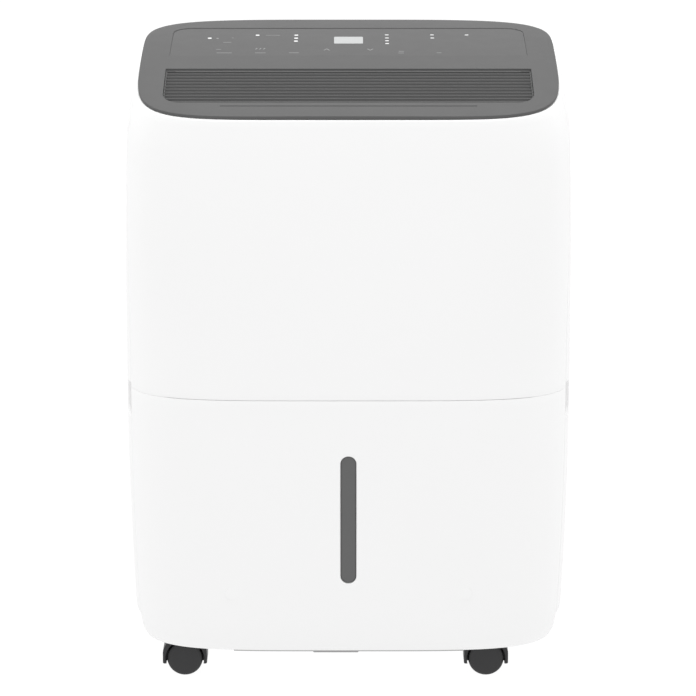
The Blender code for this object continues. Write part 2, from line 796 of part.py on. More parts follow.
def build_top_panel():
    angles = steps_between(-pi, pi, COLUMN_ANGLE)[:-1]

    def ring(scale, inset, down):
        """A ring of the panel; down gives the fall below the arched surface at an angle."""
        points = []
        for angle in angles:
            sizes = [scale * size - inset for size in PANEL_SIZES]
            x, y = plan_point(sizes, angle, PANEL_PEAK_Z)
            points.append((x, y, panel_height(y) - down(angle)))
        return points

    def roll(share):
        def fall(angle):
            blend = (1 + sin(angle)) / 2
            return share * (FRONT_ROLL + (BACK_ROLL - FRONT_ROLL) * blend)
        return fall

    def flat(depth):
        return lambda angle: depth

    under = [ring(scale, 0.0, flat(PANEL_THICKNESS)) for scale in PANEL_UNDER_SCALES]
    lip = [ring(1.0, 0.0, flat(LIP_HEIGHT - GAP))]
    edge = [ring(1.0, inset, roll(share)) for inset, share in PANEL_EDGE]
    over = [ring(scale, 0.0, flat(0.0)) for scale in PANEL_OVER_SCALES]
    shape = bmesh.new()
    add_loft(shape, under + lip + edge + over)
    panel = finish("top_panel", shape, panel_plastic())
    vent = bmesh.new()
    add_prism(vent, "z", vent_outline(0.0), *TOP_CUT_Z)
    cut(panel, vent, "vent")
    outline = film_outline(0.0)
    floor = [(x, y, film_height(y) - FILM_THICKNESS - GAP) for x, y in outline]
    recess = bmesh.new()
    add_loft(recess, [floor, [(x, y, TOP_CUT_Z[1]) for x, y in outline]])
    cut(panel, recess, "recess")


def film_height(y):
    """The flat top of the control film: level with the panel in front, sunk behind."""
    front = panel_height(FILM_FRONT_Y)
    back = panel_height(FILM_BACK_Y) - FILM_BACK_STEP
    part = (y - FILM_FRONT_Y) / (FILM_BACK_Y - FILM_FRONT_Y)
    return front + (back - front) * part


def on_film(outline, low, high):
    return [[(x, y, film_height(y) + rise) for x, y in outline] for rise in (low, high)]


def build_control_film():
    shape = bmesh.new()
    add_loft(shape, on_film(film_outline(GAP), -FILM_THICKNESS, 0.0))
    finish("control_film", shape, film_plastic())


def build_display_window():
    width = DISPLAY_HIGH[0] - DISPLAY_LOW[0]
    depth = DISPLAY_HIGH[1] - DISPLAY_LOW[1]
    outline = moved(rounded_rectangle(width, depth, DISPLAY_CORNER, 2),
                    DISPLAY_LOW[0] + width / 2, DISPLAY_LOW[1] + depth / 2)
    shape = bmesh.new()
    add_loft(shape, on_film(outline, *DISPLAY_RISE))
    finish("display_window", shape, display_plastic())


def build_light_guide():
    """A clear strip above the control board, with a head under each indicator."""
    xs = [x for x, _ in LENS_PLACES]
    ys = [y for _, y in LENS_PLACES]
    margin = LIGHT_GUIDE_MARGIN
    shape = bmesh.new()
    add_box(shape, (min(xs) - margin, min(ys) - margin, LIGHT_GUIDE_Z[0]),
            (max(xs) + margin, max(ys) + margin, LIGHT_GUIDE_Z[1]))
    guide = finish("light_guide", shape, lens_plastic())
    half_width, half_depth = LENS_SIZE[0] / 2, LENS_SIZE[1] / 2
    heads = bmesh.new()
    for x, y in LENS_PLACES:
        add_box(heads, (x - half_width, y - half_depth, LIGHT_HEAD_Z[0]),
                (x + half_width, y + half_depth, LIGHT_HEAD_Z[1]))
    unite(guide, heads, "heads")


def build_control_board():
    shape = bmesh.new()
    add_box(shape, *BOARD_BOX)
    finish("control_board", shape, board_green())


def vent_height(y):
    """The flat top of the vent's slats, sunk below the panel."""
    front = panel_height(VENT_FRONT_Y)
    back = panel_height(VENT_BACK_Y)
    part = (y - VENT_FRONT_Y) / (VENT_BACK_Y - VENT_FRONT_Y)
    return front + (back - front) * part - VENT_DROP


def vent_slots():
    """Cutters for the vent's slots, shorter where the vent's front corners are round."""
    shape = bmesh.new()
    pitch = (VENT_BACK_Y - VENT_FRONT_Y) / VENT_SLOTS
    limit = VENT_HALF_WIDTH - VENT_RIM
    edges = (-limit - VENT_HALF_RIB, *VENT_RIB_XS, limit + VENT_HALF_RIB)
    for row in range(VENT_SLOTS):
        front = VENT_FRONT_Y + (row + SLOT_START) * pitch
        back = front + SLOT_SHARE * pitch
        corner = VENT_CORNER[0] * max(0.0, 1 - row / SLOT_CORNER_ROWS)
        for left, right in zip(edges, edges[1:]):
            low = max(left + VENT_HALF_RIB, corner - limit)
            high = min(right - VENT_HALF_RIB, limit - corner)
            outline = [(low, front), (high, front), (high, back), (low, back)]
            add_loft(shape, [[(x, y + lean, vent_height(y) + rise) for x, y in outline]
                             for rise, lean in SLOT_LEVELS])
    return shape


def build_vent_grille():
    outline = vent_outline(GAP)
    shape = bmesh.new()
    add_loft(shape, [[(x, y, vent_height(y) - depth) for x, y in outline]
                     for depth in (VENT_DEPTH, 0.0)])
    grille = finish("vent_grille", shape, vent_plastic())
    cut(grille, vent_slots(), "slots")


# ---------------------------------------------------------------- air path

def build_fan_scroll():
    """The fan's housing: a hollow volute, open at the top and round the fan's inlet."""
    shape = bmesh.new()
    add_prism(shape, "y", scroll_outline(0.0), *SCROLL_Y)
    scroll = finish("fan_scroll", shape, inner_plastic())
    inner = scroll_outline(SCROLL_WALL)
    top = SCROLL_TOP_HALF_WIDTH - SCROLL_WALL
    mouth_z = SCROLL_TOP_Z + 5 * SCROLL_WALL
    inner[:2] = [(top, mouth_z), (-top, mouth_z)]
    hollow = bmesh.new()
    add_prism(hollow, "y", inner, SCROLL_Y[0] + SCROLL_WALL, SCROLL_Y[1] - SCROLL_WALL)
    cut(scroll, hollow, "hollow")
    inlet = bmesh.new()
    add_rod(inlet, "y", (0.0, FAN_Z), SCROLL_INLET_RADIUS, SCROLL_Y[1] - 2 * SCROLL_WALL,
            SCROLL_Y[1] + 2 * SCROLL_WALL, ROUND_SIDES)
    cut(scroll, inlet, "inlet")


def build_fan_impeller():
    front, back = FAN_Y
    bore, hub = HUB_RADII
    rim = FAN_RADIUS - BLADE_LENGTH
    profile = [(bore, front), (FAN_RADIUS, front), (FAN_RADIUS, back), (rim, back),
               (rim, front + FAN_PLATE), (hub, front + FAN_PLATE), (hub, front + HUB_LENGTH),
               (bore, front + HUB_LENGTH)]
    shape = bmesh.new()
    add_turned(shape, "y", (0.0, FAN_Z), profile, 2 * BLADE_SLOTS, closed=True)
    impeller = finish("fan_impeller", shape, caster_plastic(), (0.0, front, FAN_Z))
    half = BLADE_SLOT_WIDTH / 2
    near, far = BLADE_SLOT_RADII
    slots = bmesh.new()
    for k in range(BLADE_SLOTS):
        angle = 2 * pi * (k + 0.5) / BLADE_SLOTS
        outline = []
        for u, v in ((-half, near), (half, near), (half, far), (-half, far)):
            outline.append((u * cos(angle) - v * sin(angle),
                            FAN_Z + u * sin(angle) + v * cos(angle)))
        add_prism(slots, "y", outline, *BLADE_SLOT_Y)
    cut(impeller, slots, "slots")


def build_fan_motor():
    shape = bmesh.new()
    add_turned(shape, "y", (0.0, FAN_Z), MOTOR_PROFILE)
    motor = finish("fan_motor", shape, steel())
    arms = bmesh.new()
    add_box(arms, *MOTOR_ARMS)
    unite(motor, arms, "arms")


def build_coil_bulkhead():
    shape = bmesh.new()
    add_box(shape, *BULKHEAD_BOX)
    bulkhead = finish("coil_bulkhead", shape, inner_plastic())
    hole = bmesh.new()
    outline = moved(rounded_rectangle(*BULKHEAD_OPENING), *BULKHEAD_OPENING_XZ)
    add_prism(hole, "y", outline, *BULKHEAD_CUT_Y)
    cut(bulkhead, hole, "opening")


def build_coil(name, y_range):
    """A finned block on end plates, with hairpin bends standing out of one end."""
    low_y, high_y = y_range
    shape = bmesh.new()
    add_box(shape, (COIL_X[0] + COIL_BLOCK_INSET, low_y, COIL_Z[0]),
            (COIL_X[1] - COIL_BLOCK_INSET, high_y, COIL_Z[1]))
    coil = finish(name, shape, fin_aluminium())
    margin = COIL_PLATE_MARGIN
    plates = bmesh.new()
    for x in (COIL_X[0], COIL_X[1] - COIL_PLATE):
        add_box(plates, (x, low_y - margin, COIL_Z[0] - margin),
                (x + COIL_PLATE, high_y + margin, COIL_Z[1] + margin))
    unite(coil, plates, "plates")
    middle = (low_y + high_y) / 2
    bends = bmesh.new()
    for z in BEND_ZS:
        outline = moved(rounded_rectangle(*BEND_SIZE, 3), COIL_X[1], z)
        add_prism(bends, "y", outline, middle - BEND_HALF_WIDTH, middle + BEND_HALF_WIDTH)
    unite(coil, bends, "bends")


def build_drip_tray():
    """A tray under the cold coil, with a channel to the bucket and a spigot to the back."""
    def ring(margin, z):
        width, depth, radius = TRAY_SIZE
        outline = rounded_rectangle(width - 2 * margin, depth - 2 * margin, radius - margin)
        return [(x, y, z) for x, y in moved(outline, *TRAY_XY)]

    low, high = TRAY_Z
    shape = bmesh.new()
    add_loft(shape, [ring(0.0, low), ring(0.0, high), ring(TRAY_WALL, high),
                     ring(TRAY_WALL, low + TRAY_WALL)])
    tray = finish("drip_tray", shape, inner_plastic())
    channel = bmesh.new()
    add_box(channel, *CHANNEL_BOX)
    unite(tray, channel, "channel")
    spout = bmesh.new()
    add_rod(spout, "z", DRIP_XY, SPOUT_RADII[1], *SPOUT_Z)
    unite(tray, spout, "spout")
    trough = bmesh.new()
    add_box(trough, *TROUGH_BOX)
    cut(tray, trough, "trough")
    drain = bmesh.new()
    add_rod(drain, "y", DRAIN_XZ, DRAIN_RADIUS, *DRAIN_Y, ROUND_SIDES)
    unite(tray, drain, "drain")
    bores = bmesh.new()
    add_rod(bores, "z", DRIP_XY, SPOUT_RADII[0], *SPOUT_BORE_Z)
    add_rod(bores, "y", DRAIN_XZ, DRAIN_BORE_RADIUS, *DRAIN_BORE_Y)
    cut(tray, bores, "bores")


# ---------------------------------------------------------------- refrigeration and power

def build_compressor():
    shape = bmesh.new()
    add_turned(shape, "z", COMPRESSOR_XY, COMPRESSOR_PROFILE)
    compressor = finish("compressor", shape, black_paint())
    accumulator = bmesh.new()
    add_turned(accumulator, "z", ACCUMULATOR_XY, ACCUMULATOR_PROFILE, SMALL_SIDES)
    unite(compressor, accumulator, "accumulator")
    link = bmesh.new()
    add_rod(link, "x", LINK_YZ, LINK_RADIUS, *LINK_X)
    unite(compressor, link, "link")
    plate = bmesh.new()
    outline = [(FOOT_RADIUS * cos(foot + turn), FOOT_RADIUS * sin(foot + turn))
               for foot in FOOT_ANGLES for turn in (-FOOT_SPREAD, FOOT_SPREAD)]
    add_prism(plate, "z", moved(outline, *COMPRESSOR_XY), *FOOT_Z)
    unite(compressor, plate, "plate")


def build_compressor_mount():
    """A ring of rubber with three raised pads, between the pan and the compressor."""
    bore, rim = MOUNT_RADII
    low = PAN_FLOOR_Z + GAP
    profile = [(bore, low), (rim, low), (rim, MOUNT_TOP_Z), (bore, MOUNT_TOP_Z)]
    shape = bmesh.new()
    add_turned(shape, "z", COMPRESSOR_XY, profile, closed=True)
    mount = finish("compressor_mount", shape, rubber())
    pads = bmesh.new()
    for angle in FOOT_ANGLES:
        centre = (COMPRESSOR_XY[0] + PAD_DISTANCE * cos(angle),
                  COMPRESSOR_XY[1] + PAD_DISTANCE * sin(angle))
        add_rod(pads, "z", centre, PAD_RADIUS, *PAD_Z)
    unite(mount, pads, "pads")


def add_pipe(shape, points, radius, sides):
    """A round pipe along a path, mitred at its corners."""
    path = [Vector(point) for point in points]
    runs = [(after - before).normalized() for before, after in zip(path, path[1:])]
    rings = []
    for point, before, after in zip(path, runs[:1] + runs, runs + runs[-1:]):
        direction = (before + after).normalized()
        side = direction.cross(Vector((0.3, 1.0, 0.2))).normalized()
        other = direction.cross(side)
        rings.append([point + u * side + v * other for u, v in circle(radius, sides)])
    add_loft(shape, rings)


def build_pipe(name, points, radius, sides=8):
    shape = bmesh.new()
    add_pipe(shape, points, radius, sides)
    finish(name, shape, copper())


def build_pipes():
    build_pipe("discharge_pipe", DISCHARGE_PATH, PIPE_RADIUS)
    build_pipe("suction_pipe", SUCTION_PATH, PIPE_RADIUS)
    build_pipe("capillary_tube", CAPILLARY_PATH, CAPILLARY_RADIUS, 6)


def build_capacitor():
    shape = bmesh.new()
    add_turned(shape, "z", CAPACITOR_XY, CAPACITOR_PROFILE, SMALL_SIDES)
    finish("capacitor", shape, steel())


def build_electrical_box():
    shape = bmesh.new()
    add_prism(shape, "y", moved(rounded_rectangle(*ELECTRICAL_SIZE, 3), *ELECTRICAL_XZ),
              *ELECTRICAL_Y)
    finish("electrical_box", shape, caster_plastic())


def build_humidity_sensor():
    shape = bmesh.new()
    add_box(shape, *HUMIDITY_SENSOR_BOX)
    finish("humidity_sensor", shape, bucket_plastic())


def build_bucket_sensor():
    shape = bmesh.new()
    add_box(shape, *BUCKET_SENSOR_BOX)
    finish("bucket_sensor", shape, caster_plastic())


# ---------------------------------------------------------------- rear fittings

def intake_slots():
    """Cutters for the intake's slots, in columns between the grille's ribs."""
    shape = bmesh.new()
    low = WINDOW_LOW_Z + GRILLE_BORDER
    pitch = (WINDOW_HIGH_Z - WINDOW_LOW_Z - 2 * GRILLE_BORDER) / GRILLE_SLOTS
    limit = WINDOW_HALF_WIDTH - GRILLE_BORDER
    edges = (-limit, *GRILLE_RIB_XS, limit)
    for row in range(GRILLE_SLOTS):
        bottom = low + (row + 0.25) * pitch
        for left, right in zip(edges, edges[1:]):
            add_box(shape, (left + GRILLE_HALF_RIB, REAR_CUT_Y[0], bottom),
                    (right - GRILLE_HALF_RIB, REAR_CUT_Y[1], bottom + 0.5 * pitch))
    return shape


def build_intake_grille():
    half = WINDOW_HALF_WIDTH - GRILLE_GAP
    columns = steps_between(-half, half, GRILLE_STEPS[0])
    rows = steps_between(WINDOW_LOW_Z + GRILLE_GAP, WINDOW_HIGH_Z - GRILLE_GAP, GRILLE_STEPS[1])
    shape = bmesh.new()
    add_grid_solid(shape, columns, rows, lambda x, z: (x, back_y(x, z), z),
                   lambda x, z: (x, back_y(x, z, GRILLE_THICKNESS), z))
    grille = finish("intake_grille", shape, white_plastic())
    cut(grille, intake_slots(), "slots")


def build_filter():
    """The filter's frame and the mesh held in it."""
    half = WINDOW_HALF_WIDTH - FILTER_INSET[0]
    low = WINDOW_LOW_Z + FILTER_INSET[1]
    high = WINDOW_HIGH_Z - FILTER_INSET[1]
    front, back = FILTER_Y
    shape = bmesh.new()
    add_box(shape, (-half, front, low), (half, back, high))
    frame = finish("filter_frame", shape, panel_plastic())
    border = FILTER_BORDER
    opening = bmesh.new()
    add_box(opening, (border - half, front - border, low + border),
            (half - border, back + border, high - border))
    cut(frame, opening, "opening")
    border += GAP
    middle = (front + back) / 2
    sheet = bmesh.new()
    add_box(sheet, (border - half, middle - MESH_THICKNESS / 2, low + border),
            (half - border, middle + MESH_THICKNESS / 2, high - border))
    finish("filter_mesh", sheet, filter_fabric())


def build_drain_cap():
    """A cap over the drain spigot, its hollow longer than the spigot."""
    hollow, face, side = CAP_RADII
    profile = [(face, CAP_BACK_Y[1]), (side, CAP_BACK_Y[0]), (side, CAP_FRONT_Y),
               (hollow, CAP_FRONT_Y), (hollow, CAP_FLOOR_Y)]
    shape = bmesh.new()
    add_turned(shape, "y", DRAIN_XZ, profile)
    finish("drain_cap", shape, panel_plastic(), (DRAIN_XZ[0], CAP_FRONT_Y, DRAIN_XZ[1]))


def build_cord_gland():
    face = back_y(*GLAND_XZ)
    profile = [(radius, face + along) for radius, along in GLAND_PROFILE]
    shape = bmesh.new()
    add_turned(shape, "y", GLAND_XZ, profile, SMALL_SIDES, closed=True)
    finish("cord_gland", shape, rubber())


# ---------------------------------------------------------------- bucket

def window_slot_outline(margin):
    low, high = WINDOW_SLOT_Z
    width = WINDOW_SLOT_WIDTH - 2 * margin
    outline = rounded_rectangle(width, high - low - 2 * margin, width / 2 - 0.0001, 5)
    return moved(outline, 0.0, (low + high) / 2)


def build_bucket_front():
    start = -pi + SIDE_SEAM + SEAM_HALF_GAP
    end = -SIDE_SEAM - SEAM_HALF_GAP
    rows = (*BUCKET_ROWS_Z, BUCKET_SEAM_Z - GAP)
    shape = bmesh.new()
    add_grid_solid(shape, steps_between(start, end, COLUMN_ANGLE), rows, casing_point,
                   lambda angle, z: casing_point(angle, z, WALL))
    cover = finish("bucket_front", shape, white_plastic())
    inside = bmesh.new()
    for x in BOSS_XS:
        for z in BOSS_ZS:
            add_rod(inside, "y", (x, z), BOSS_RADIUS, *BOSS_Y)
    add_prism(inside, "y", TAB_OUTLINE, *TAB_Y)
    unite(cover, inside, "bosses")
    slot = bmesh.new()
    add_prism(slot, "y", window_slot_outline(0.0), *WINDOW_CUT_Y)
    cut(cover, slot, "slot")


def build_bucket_window():
    shape = bmesh.new()
    add_prism(shape, "y", window_slot_outline(GAP), *WINDOW_Y)
    finish("bucket_window", shape, smoked_plastic())


def tub_ring(margin, z):
    outline = rounded_rectangle(TUB_SIZE[0] - 2 * margin, TUB_SIZE[1] - 2 * margin,
                                TUB_RADIUS - margin, 5)
    return [(x, y + TUB_Y, z) for x, y in outline]


def build_bucket_tub():
    low, high = TUB_Z
    foot = TUB_DRAFT + TUB_FOOT
    shape = bmesh.new()
    add_loft(shape, [tub_ring(foot, low), tub_ring(TUB_DRAFT, low + TUB_FOOT),
                     tub_ring(0.0, high), tub_ring(TUB_WALL, high),
                     tub_ring(TUB_DRAFT + TUB_WALL, low + TUB_FOOT + TUB_WALL / 2),
                     tub_ring(foot + TUB_WALL, low + TUB_FLOOR)])
    finish("bucket_tub", shape, bucket_plastic())


def build_bucket_lid():
    """A flat lid with a hole for the drips and two lugs for the handle."""
    low, high = LID_Z
    shape = bmesh.new()
    add_loft(shape, [tub_ring(LID_INSET, low), tub_ring(LID_INSET, high)])
    lid = finish("bucket_lid", shape, bucket_plastic())
    lugs = bmesh.new()
    holes = bmesh.new()
    add_rod(holes, "z", DRIP_XY, LID_HOLE_RADIUS, *LID_CUT_Z, ROUND_SIDES)
    for side in (-1, 1):
        add_box(lugs, (side * LUG_X[0], LUG_Y[0], LUG_Z[0]), (side * LUG_X[1], LUG_Y[1], LUG_Z[1]))
        add_rod(holes, "x", HANDLE_PIVOT[1:], HANDLE_PIN_RADIUS + PIN_CLEARANCE,
                side * LUG_BORE_X[0], side * LUG_BORE_X[1])
    unite(lid, lugs, "lugs")
    cut(lid, holes, "holes")


def build_bucket_handle():
    """A flat bail with chamfered corners, and a pin at each end."""
    x = HANDLE_HALF_WIDTH
    y, z = HANDLE_PIVOT[1:]
    bar = HANDLE_BAR
    front = y - HANDLE_REACH
    heel = y + HANDLE_HEEL
    inner, outer = HANDLE_CHAMFERS
    right = [(x, heel), (x - bar, heel), (x - bar, front + bar + inner),
             (x - bar - inner, front + bar)]
    left = [(-u, v) for u, v in reversed(right)]
    far = [(-x, front + outer), (outer - x, front), (x - outer, front), (x, front + outer)]
    shape = bmesh.new()
    add_prism(shape, "z", right + left + far, z - bar / 2, z + bar / 2)
    handle = finish("bucket_handle", shape, bucket_plastic(), HANDLE_PIVOT)
    pins = bmesh.new()
    for side in (-1, 1):
        near, end = (side * reach for reach in HANDLE_PIN_X)
        add_rod(pins, "x", (y, z), HANDLE_PIN_RADIUS, near, end)
    unite(handle, pins, "pins")


def build_bucket_float():
    outline = moved(rounded_rectangle(*FLOAT_SIZE, 3), *FLOAT_XY)
    shape = bmesh.new()
    add_prism(shape, "z", outline, *FLOAT_Z)
    finish("bucket_float", shape, display_plastic(), (*FLOAT_XY, FLOAT_Z[0]))


# ---------------------------------------------------------------- casters

def caster_places():
    return [(x, y) for y in (-CASTER_Y, CASTER_Y) for x in (-CASTER_X, CASTER_X)]


def caster_names():
    return ["front_left", "front_right", "rear_left", "rear_right"]


def hood_outline():
    """An arch over the wheels, seen along the axle."""
    low, high = HOOD_Z
    half = HOOD_HALF_LENGTH
    radius = HOOD_CORNER
    steps = 5
    points = [(half, low), (-half, low)]
    for side, start in ((-1, pi), (1, pi / 2)):
        for step in range(steps + 1):
            angle = start - step * pi / 2 / steps
            points.append((side * (half - radius) + radius * cos(angle),
                           high - radius + radius * sin(angle)))
    return moved(points, -CASTER_TRAIL, 0.0)


def build_hood(name, place_xy):
    x, y = place_xy
    shape = bmesh.new()
    add_prism(shape, "y", moved(hood_outline(), x, 0.0), y - HOOD_HALF_WIDTH, y + HOOD_HALF_WIDTH)
    hood = finish(name, shape, caster_plastic(), (x, y, 0.0))
    axle_xz = (x - CASTER_TRAIL, WHEEL_RADIUS)
    pockets = bmesh.new()
    for side in (-1, 1):
        add_rod(pockets, "y", axle_xz, HOOD_POCKET_RADIUS, y + side * HOOD_WEB,
                y + side * HOOD_POCKET_REACH, ROUND_SIDES)
    cut(hood, pockets, "pockets")
    holes = bmesh.new()
    add_rod(holes, "y", axle_xz, AXLE_RADIUS + GAP, y - HOOD_BORE_REACH, y + HOOD_BORE_REACH)
    add_rod(holes, "z", place_xy, HOOD_STEM_HOLE_RADIUS, *HOOD_STEM_HOLE_Z)
    cut(hood, holes, "holes")


def build_stem(name, place_xy):
    shape = bmesh.new()
    add_turned(shape, "z", place_xy, STEM_PROFILE, SMALL_SIDES)
    finish(name, shape, steel(), (*place_xy, 0.0))


def build_axle(name, centre):
    x, y, z = centre
    shape = bmesh.new()
    add_rod(shape, "y", (x, z), AXLE_RADIUS, y - AXLE_HALF_LENGTH, y + AXLE_HALF_LENGTH)
    finish(name, shape, steel(), centre)


def build_wheel(name, centre, side):
    """One wheel of a pair: its outer face is closed, and its axle enters from the middle."""
    half = WHEEL_HALF_WIDTH
    bore = AXLE_RADIUS + WHEEL_FIT
    profile = [(WHEEL_FACE_RADIUS, half)]
    profile += [(WHEEL_RADIUS - inset, half - along) for inset, along in WHEEL_EDGE]
    profile += [(WHEEL_RADIUS, WHEEL_INNER_CHAMFER - half),
                (WHEEL_RADIUS - WHEEL_INNER_CHAMFER, -half), (bore, -half),
                (bore, half - WHEEL_HUB_DEPTH)]
    turned = [(radius, centre[1] + side * along) for radius, along in profile]
    shape = bmesh.new()
    add_turned(shape, "y", (centre[0], centre[2]), turned, SMALL_SIDES)
    finish(name, shape, wheel_plastic(), centre)


def build_casters():
    for name, (x, y) in zip(caster_names(), caster_places()):
        label = name + "_caster"
        build_hood(label + "_hood", (x, y))
        build_stem(label + "_stem", (x, y))
        wheel_x = x - CASTER_TRAIL
        build_axle(label + "_axle", (wheel_x, y, WHEEL_RADIUS))
        for place_name, side in (("front_wheel", -1), ("back_wheel", 1)):
            centre = (wheel_x, y + side * WHEEL_OFFSET, WHEEL_RADIUS)
            build_wheel(label + "_" + place_name, centre, side)


# ---------------------------------------------------------------- assembly

def build_housing():
    build_base_pan()
    build_rear_shell()
    build_front_cover()
    build_carry_handle("carry_handle_left", -1)
    build_carry_handle("carry_handle_right", 1)
    build_mid_deck()
    build_bay_wall()


def build_top():
    build_top_panel()
    build_vent_grille()
    build_control_film()
    build_display_window()
    build_light_guide()
    build_control_board()


def build_air_path():
    build_fan_scroll()
    build_fan_impeller()
    build_fan_motor()
    build_coil_bulkhead()
    build_coil("condenser", CONDENSER_Y)
    build_coil("evaporator", EVAPORATOR_Y)
    build_drip_tray()


def build_circuit():
    build_compressor()
    build_compressor_mount()
    build_pipes()
    build_capacitor()
    build_electrical_box()
    build_humidity_sensor()
    build_bucket_sensor()


def build_rear_fittings():
    build_intake_grille()
    build_filter()
    build_drain_cap()
    build_cord_gland()


def build_bucket():
    build_bucket_front()
    build_bucket_window()
    build_bucket_tub()
    build_bucket_lid()
    build_bucket_handle()
    build_bucket_float()


def main():
    clear_scene()
    build_housing()
    build_top()
    build_air_path()
    build_circuit()
    build_rear_fittings()
    build_bucket()
    build_casters()


main()
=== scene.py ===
"""The looks of a portable dehumidifier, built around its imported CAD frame.

The frame's axes hold here too: +Z is up, -Y is the front, +X is to the right seen from the
front, and lengths are in metres. Shapes that show are built again at a finer step than the
CAD solids; inner solids are kept with their edges softened.
"""

import json
from math import cos, hypot, pi, radians, sin, sqrt

import bmesh
import bpy
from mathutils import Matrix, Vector

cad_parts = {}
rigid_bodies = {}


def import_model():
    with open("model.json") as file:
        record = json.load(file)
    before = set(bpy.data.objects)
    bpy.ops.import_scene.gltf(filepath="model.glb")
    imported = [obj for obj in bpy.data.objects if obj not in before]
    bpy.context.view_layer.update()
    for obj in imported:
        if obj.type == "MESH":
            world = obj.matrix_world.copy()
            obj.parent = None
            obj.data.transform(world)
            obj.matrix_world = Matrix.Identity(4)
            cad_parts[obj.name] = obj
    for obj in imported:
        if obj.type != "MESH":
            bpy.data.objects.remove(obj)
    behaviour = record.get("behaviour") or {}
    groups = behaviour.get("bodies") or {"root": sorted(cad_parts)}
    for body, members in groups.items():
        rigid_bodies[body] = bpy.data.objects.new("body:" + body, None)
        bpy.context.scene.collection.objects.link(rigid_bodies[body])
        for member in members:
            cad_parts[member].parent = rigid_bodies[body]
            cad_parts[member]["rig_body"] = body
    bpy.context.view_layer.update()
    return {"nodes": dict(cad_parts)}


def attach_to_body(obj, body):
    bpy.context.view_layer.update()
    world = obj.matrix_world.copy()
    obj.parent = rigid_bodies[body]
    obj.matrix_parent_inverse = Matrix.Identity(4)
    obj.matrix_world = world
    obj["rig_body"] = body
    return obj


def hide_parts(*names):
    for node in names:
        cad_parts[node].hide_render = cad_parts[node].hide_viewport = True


# ---------------------------------------------------------------- sizes shared with the CAD

HALF_WIDTH = 0.1730
HALF_DEPTH = 0.1225
WAIST_Z = 0.220
BARREL_ABOVE = 0.090
BARREL_BELOW = 0.140
PLAN_POWER = 4.8
FRONT_TOP_POWER = 6.5
BACK_TOP_POWER = 4.0
POWER_CHANGE_Z = (0.250, 0.450)
WALL = 0.0025
GAP = 0.0003

CASING_BOTTOM_Z = 0.0315
TUCK_HEIGHT = 0.026
SIDE_TUCK = 0.0065
FRONT_TUCK = 0.0030
SHOULDER_HEIGHT = 0.038
SIDE_SHOULDER = 0.0055
FRONT_SHOULDER = 0.0006
BACK_SHOULDER = 0.0070

PANEL_PEAK_Z = 0.4925
PANEL_PEAK_Y = 0.100
PANEL_CURVE = 0.86
PANEL_SIZES = (0.1598, 0.1155, 0.1070)
PANEL_THICKNESS = 0.0030
LIP_HEIGHT = 0.0033
FRONT_ROLL = 0.0004
BACK_ROLL = 0.0028

SIDE_SEAM = radians(26.1)
SEAM_HALF_GAP = radians(0.06)
FRONT_SPAN = (-pi + SIDE_SEAM + SEAM_HALF_GAP, -SIDE_SEAM - SEAM_HALF_GAP)
REAR_SPAN = (-SIDE_SEAM + SEAM_HALF_GAP, pi + SIDE_SEAM - SEAM_HALF_GAP)
BUCKET_SEAM_Z = 0.2348
REAR_BOTTOM_Z = 0.0500

VENT_FRONT_Y = -0.0966
VENT_BACK_Y = -0.0407
VENT_HALF_WIDTH = 0.1395
VENT_CORNER = (0.0120, 0.0125)
VENT_SLOTS = 11
VENT_RIB_XS = (-0.0700, 0.0, 0.0700)
VENT_DROP = 0.0014
VENT_DEPTH = 0.0075

FILM_HALF_WIDTH = 0.1380
FILM_BACK_Y = 0.0615
FILM_FRONT_Y = -0.0140
FILM_CORNER = 0.0160
FILM_BACK_STEP = 0.0004
FILM_RECESS = 0.0009
FILM_THICKNESS = 0.0006
DISPLAY_LOW = (-0.0112, 0.0143)
DISPLAY_HIGH = (0.0114, 0.0332)
DISPLAY_RADIUS = 0.0012
DISPLAY_EDGE = ((0.0, -0.0003), (0.0, 0.0002), (0.0002, 0.0003), (0.0010, 0.0003))
LENS_SIZE = (0.0030, 0.0030)
LENS_RADIUS = 0.0008
LENS_RISE = (-0.0002, 0.0001)
RIGHT_LENS_SHARE = 0.65
LENS_PLACES = (
    (-0.1088, 0.0295), (-0.0715, 0.0386),
    (-0.0410, 0.0386), (-0.0410, 0.0296), (-0.0410, 0.0212),
    (0.0302, 0.0396), (0.0302, 0.0302), (0.0302, 0.0222), (0.0302, 0.0147),
    (0.0658, 0.0396), (0.0658, 0.0302),
    (0.0930, 0.0393),
)

GRIP_Y = -0.0100
GRIP_Z = 0.3920
GRIP_WIDTH = 0.1160
GRIP_HEIGHT = 0.0800
GRIP_RADIUS = 0.0220
GRIP_DEPTH = 0.0220
GRIP_WALL = 0.0020
GRIP_FILLET = 0.0060
NOTCH_Y = (-0.0900, -0.0660)
NOTCH_Z = (0.2120, 0.2375)
NOTCH_RADIUS = 0.0060
SCOOP_Y = (-0.0822, -0.0640)
SCOOP_DEPTH = 0.0050
SCOOP_WALL = 0.0010
SCOOP_RADIUS = 0.0070

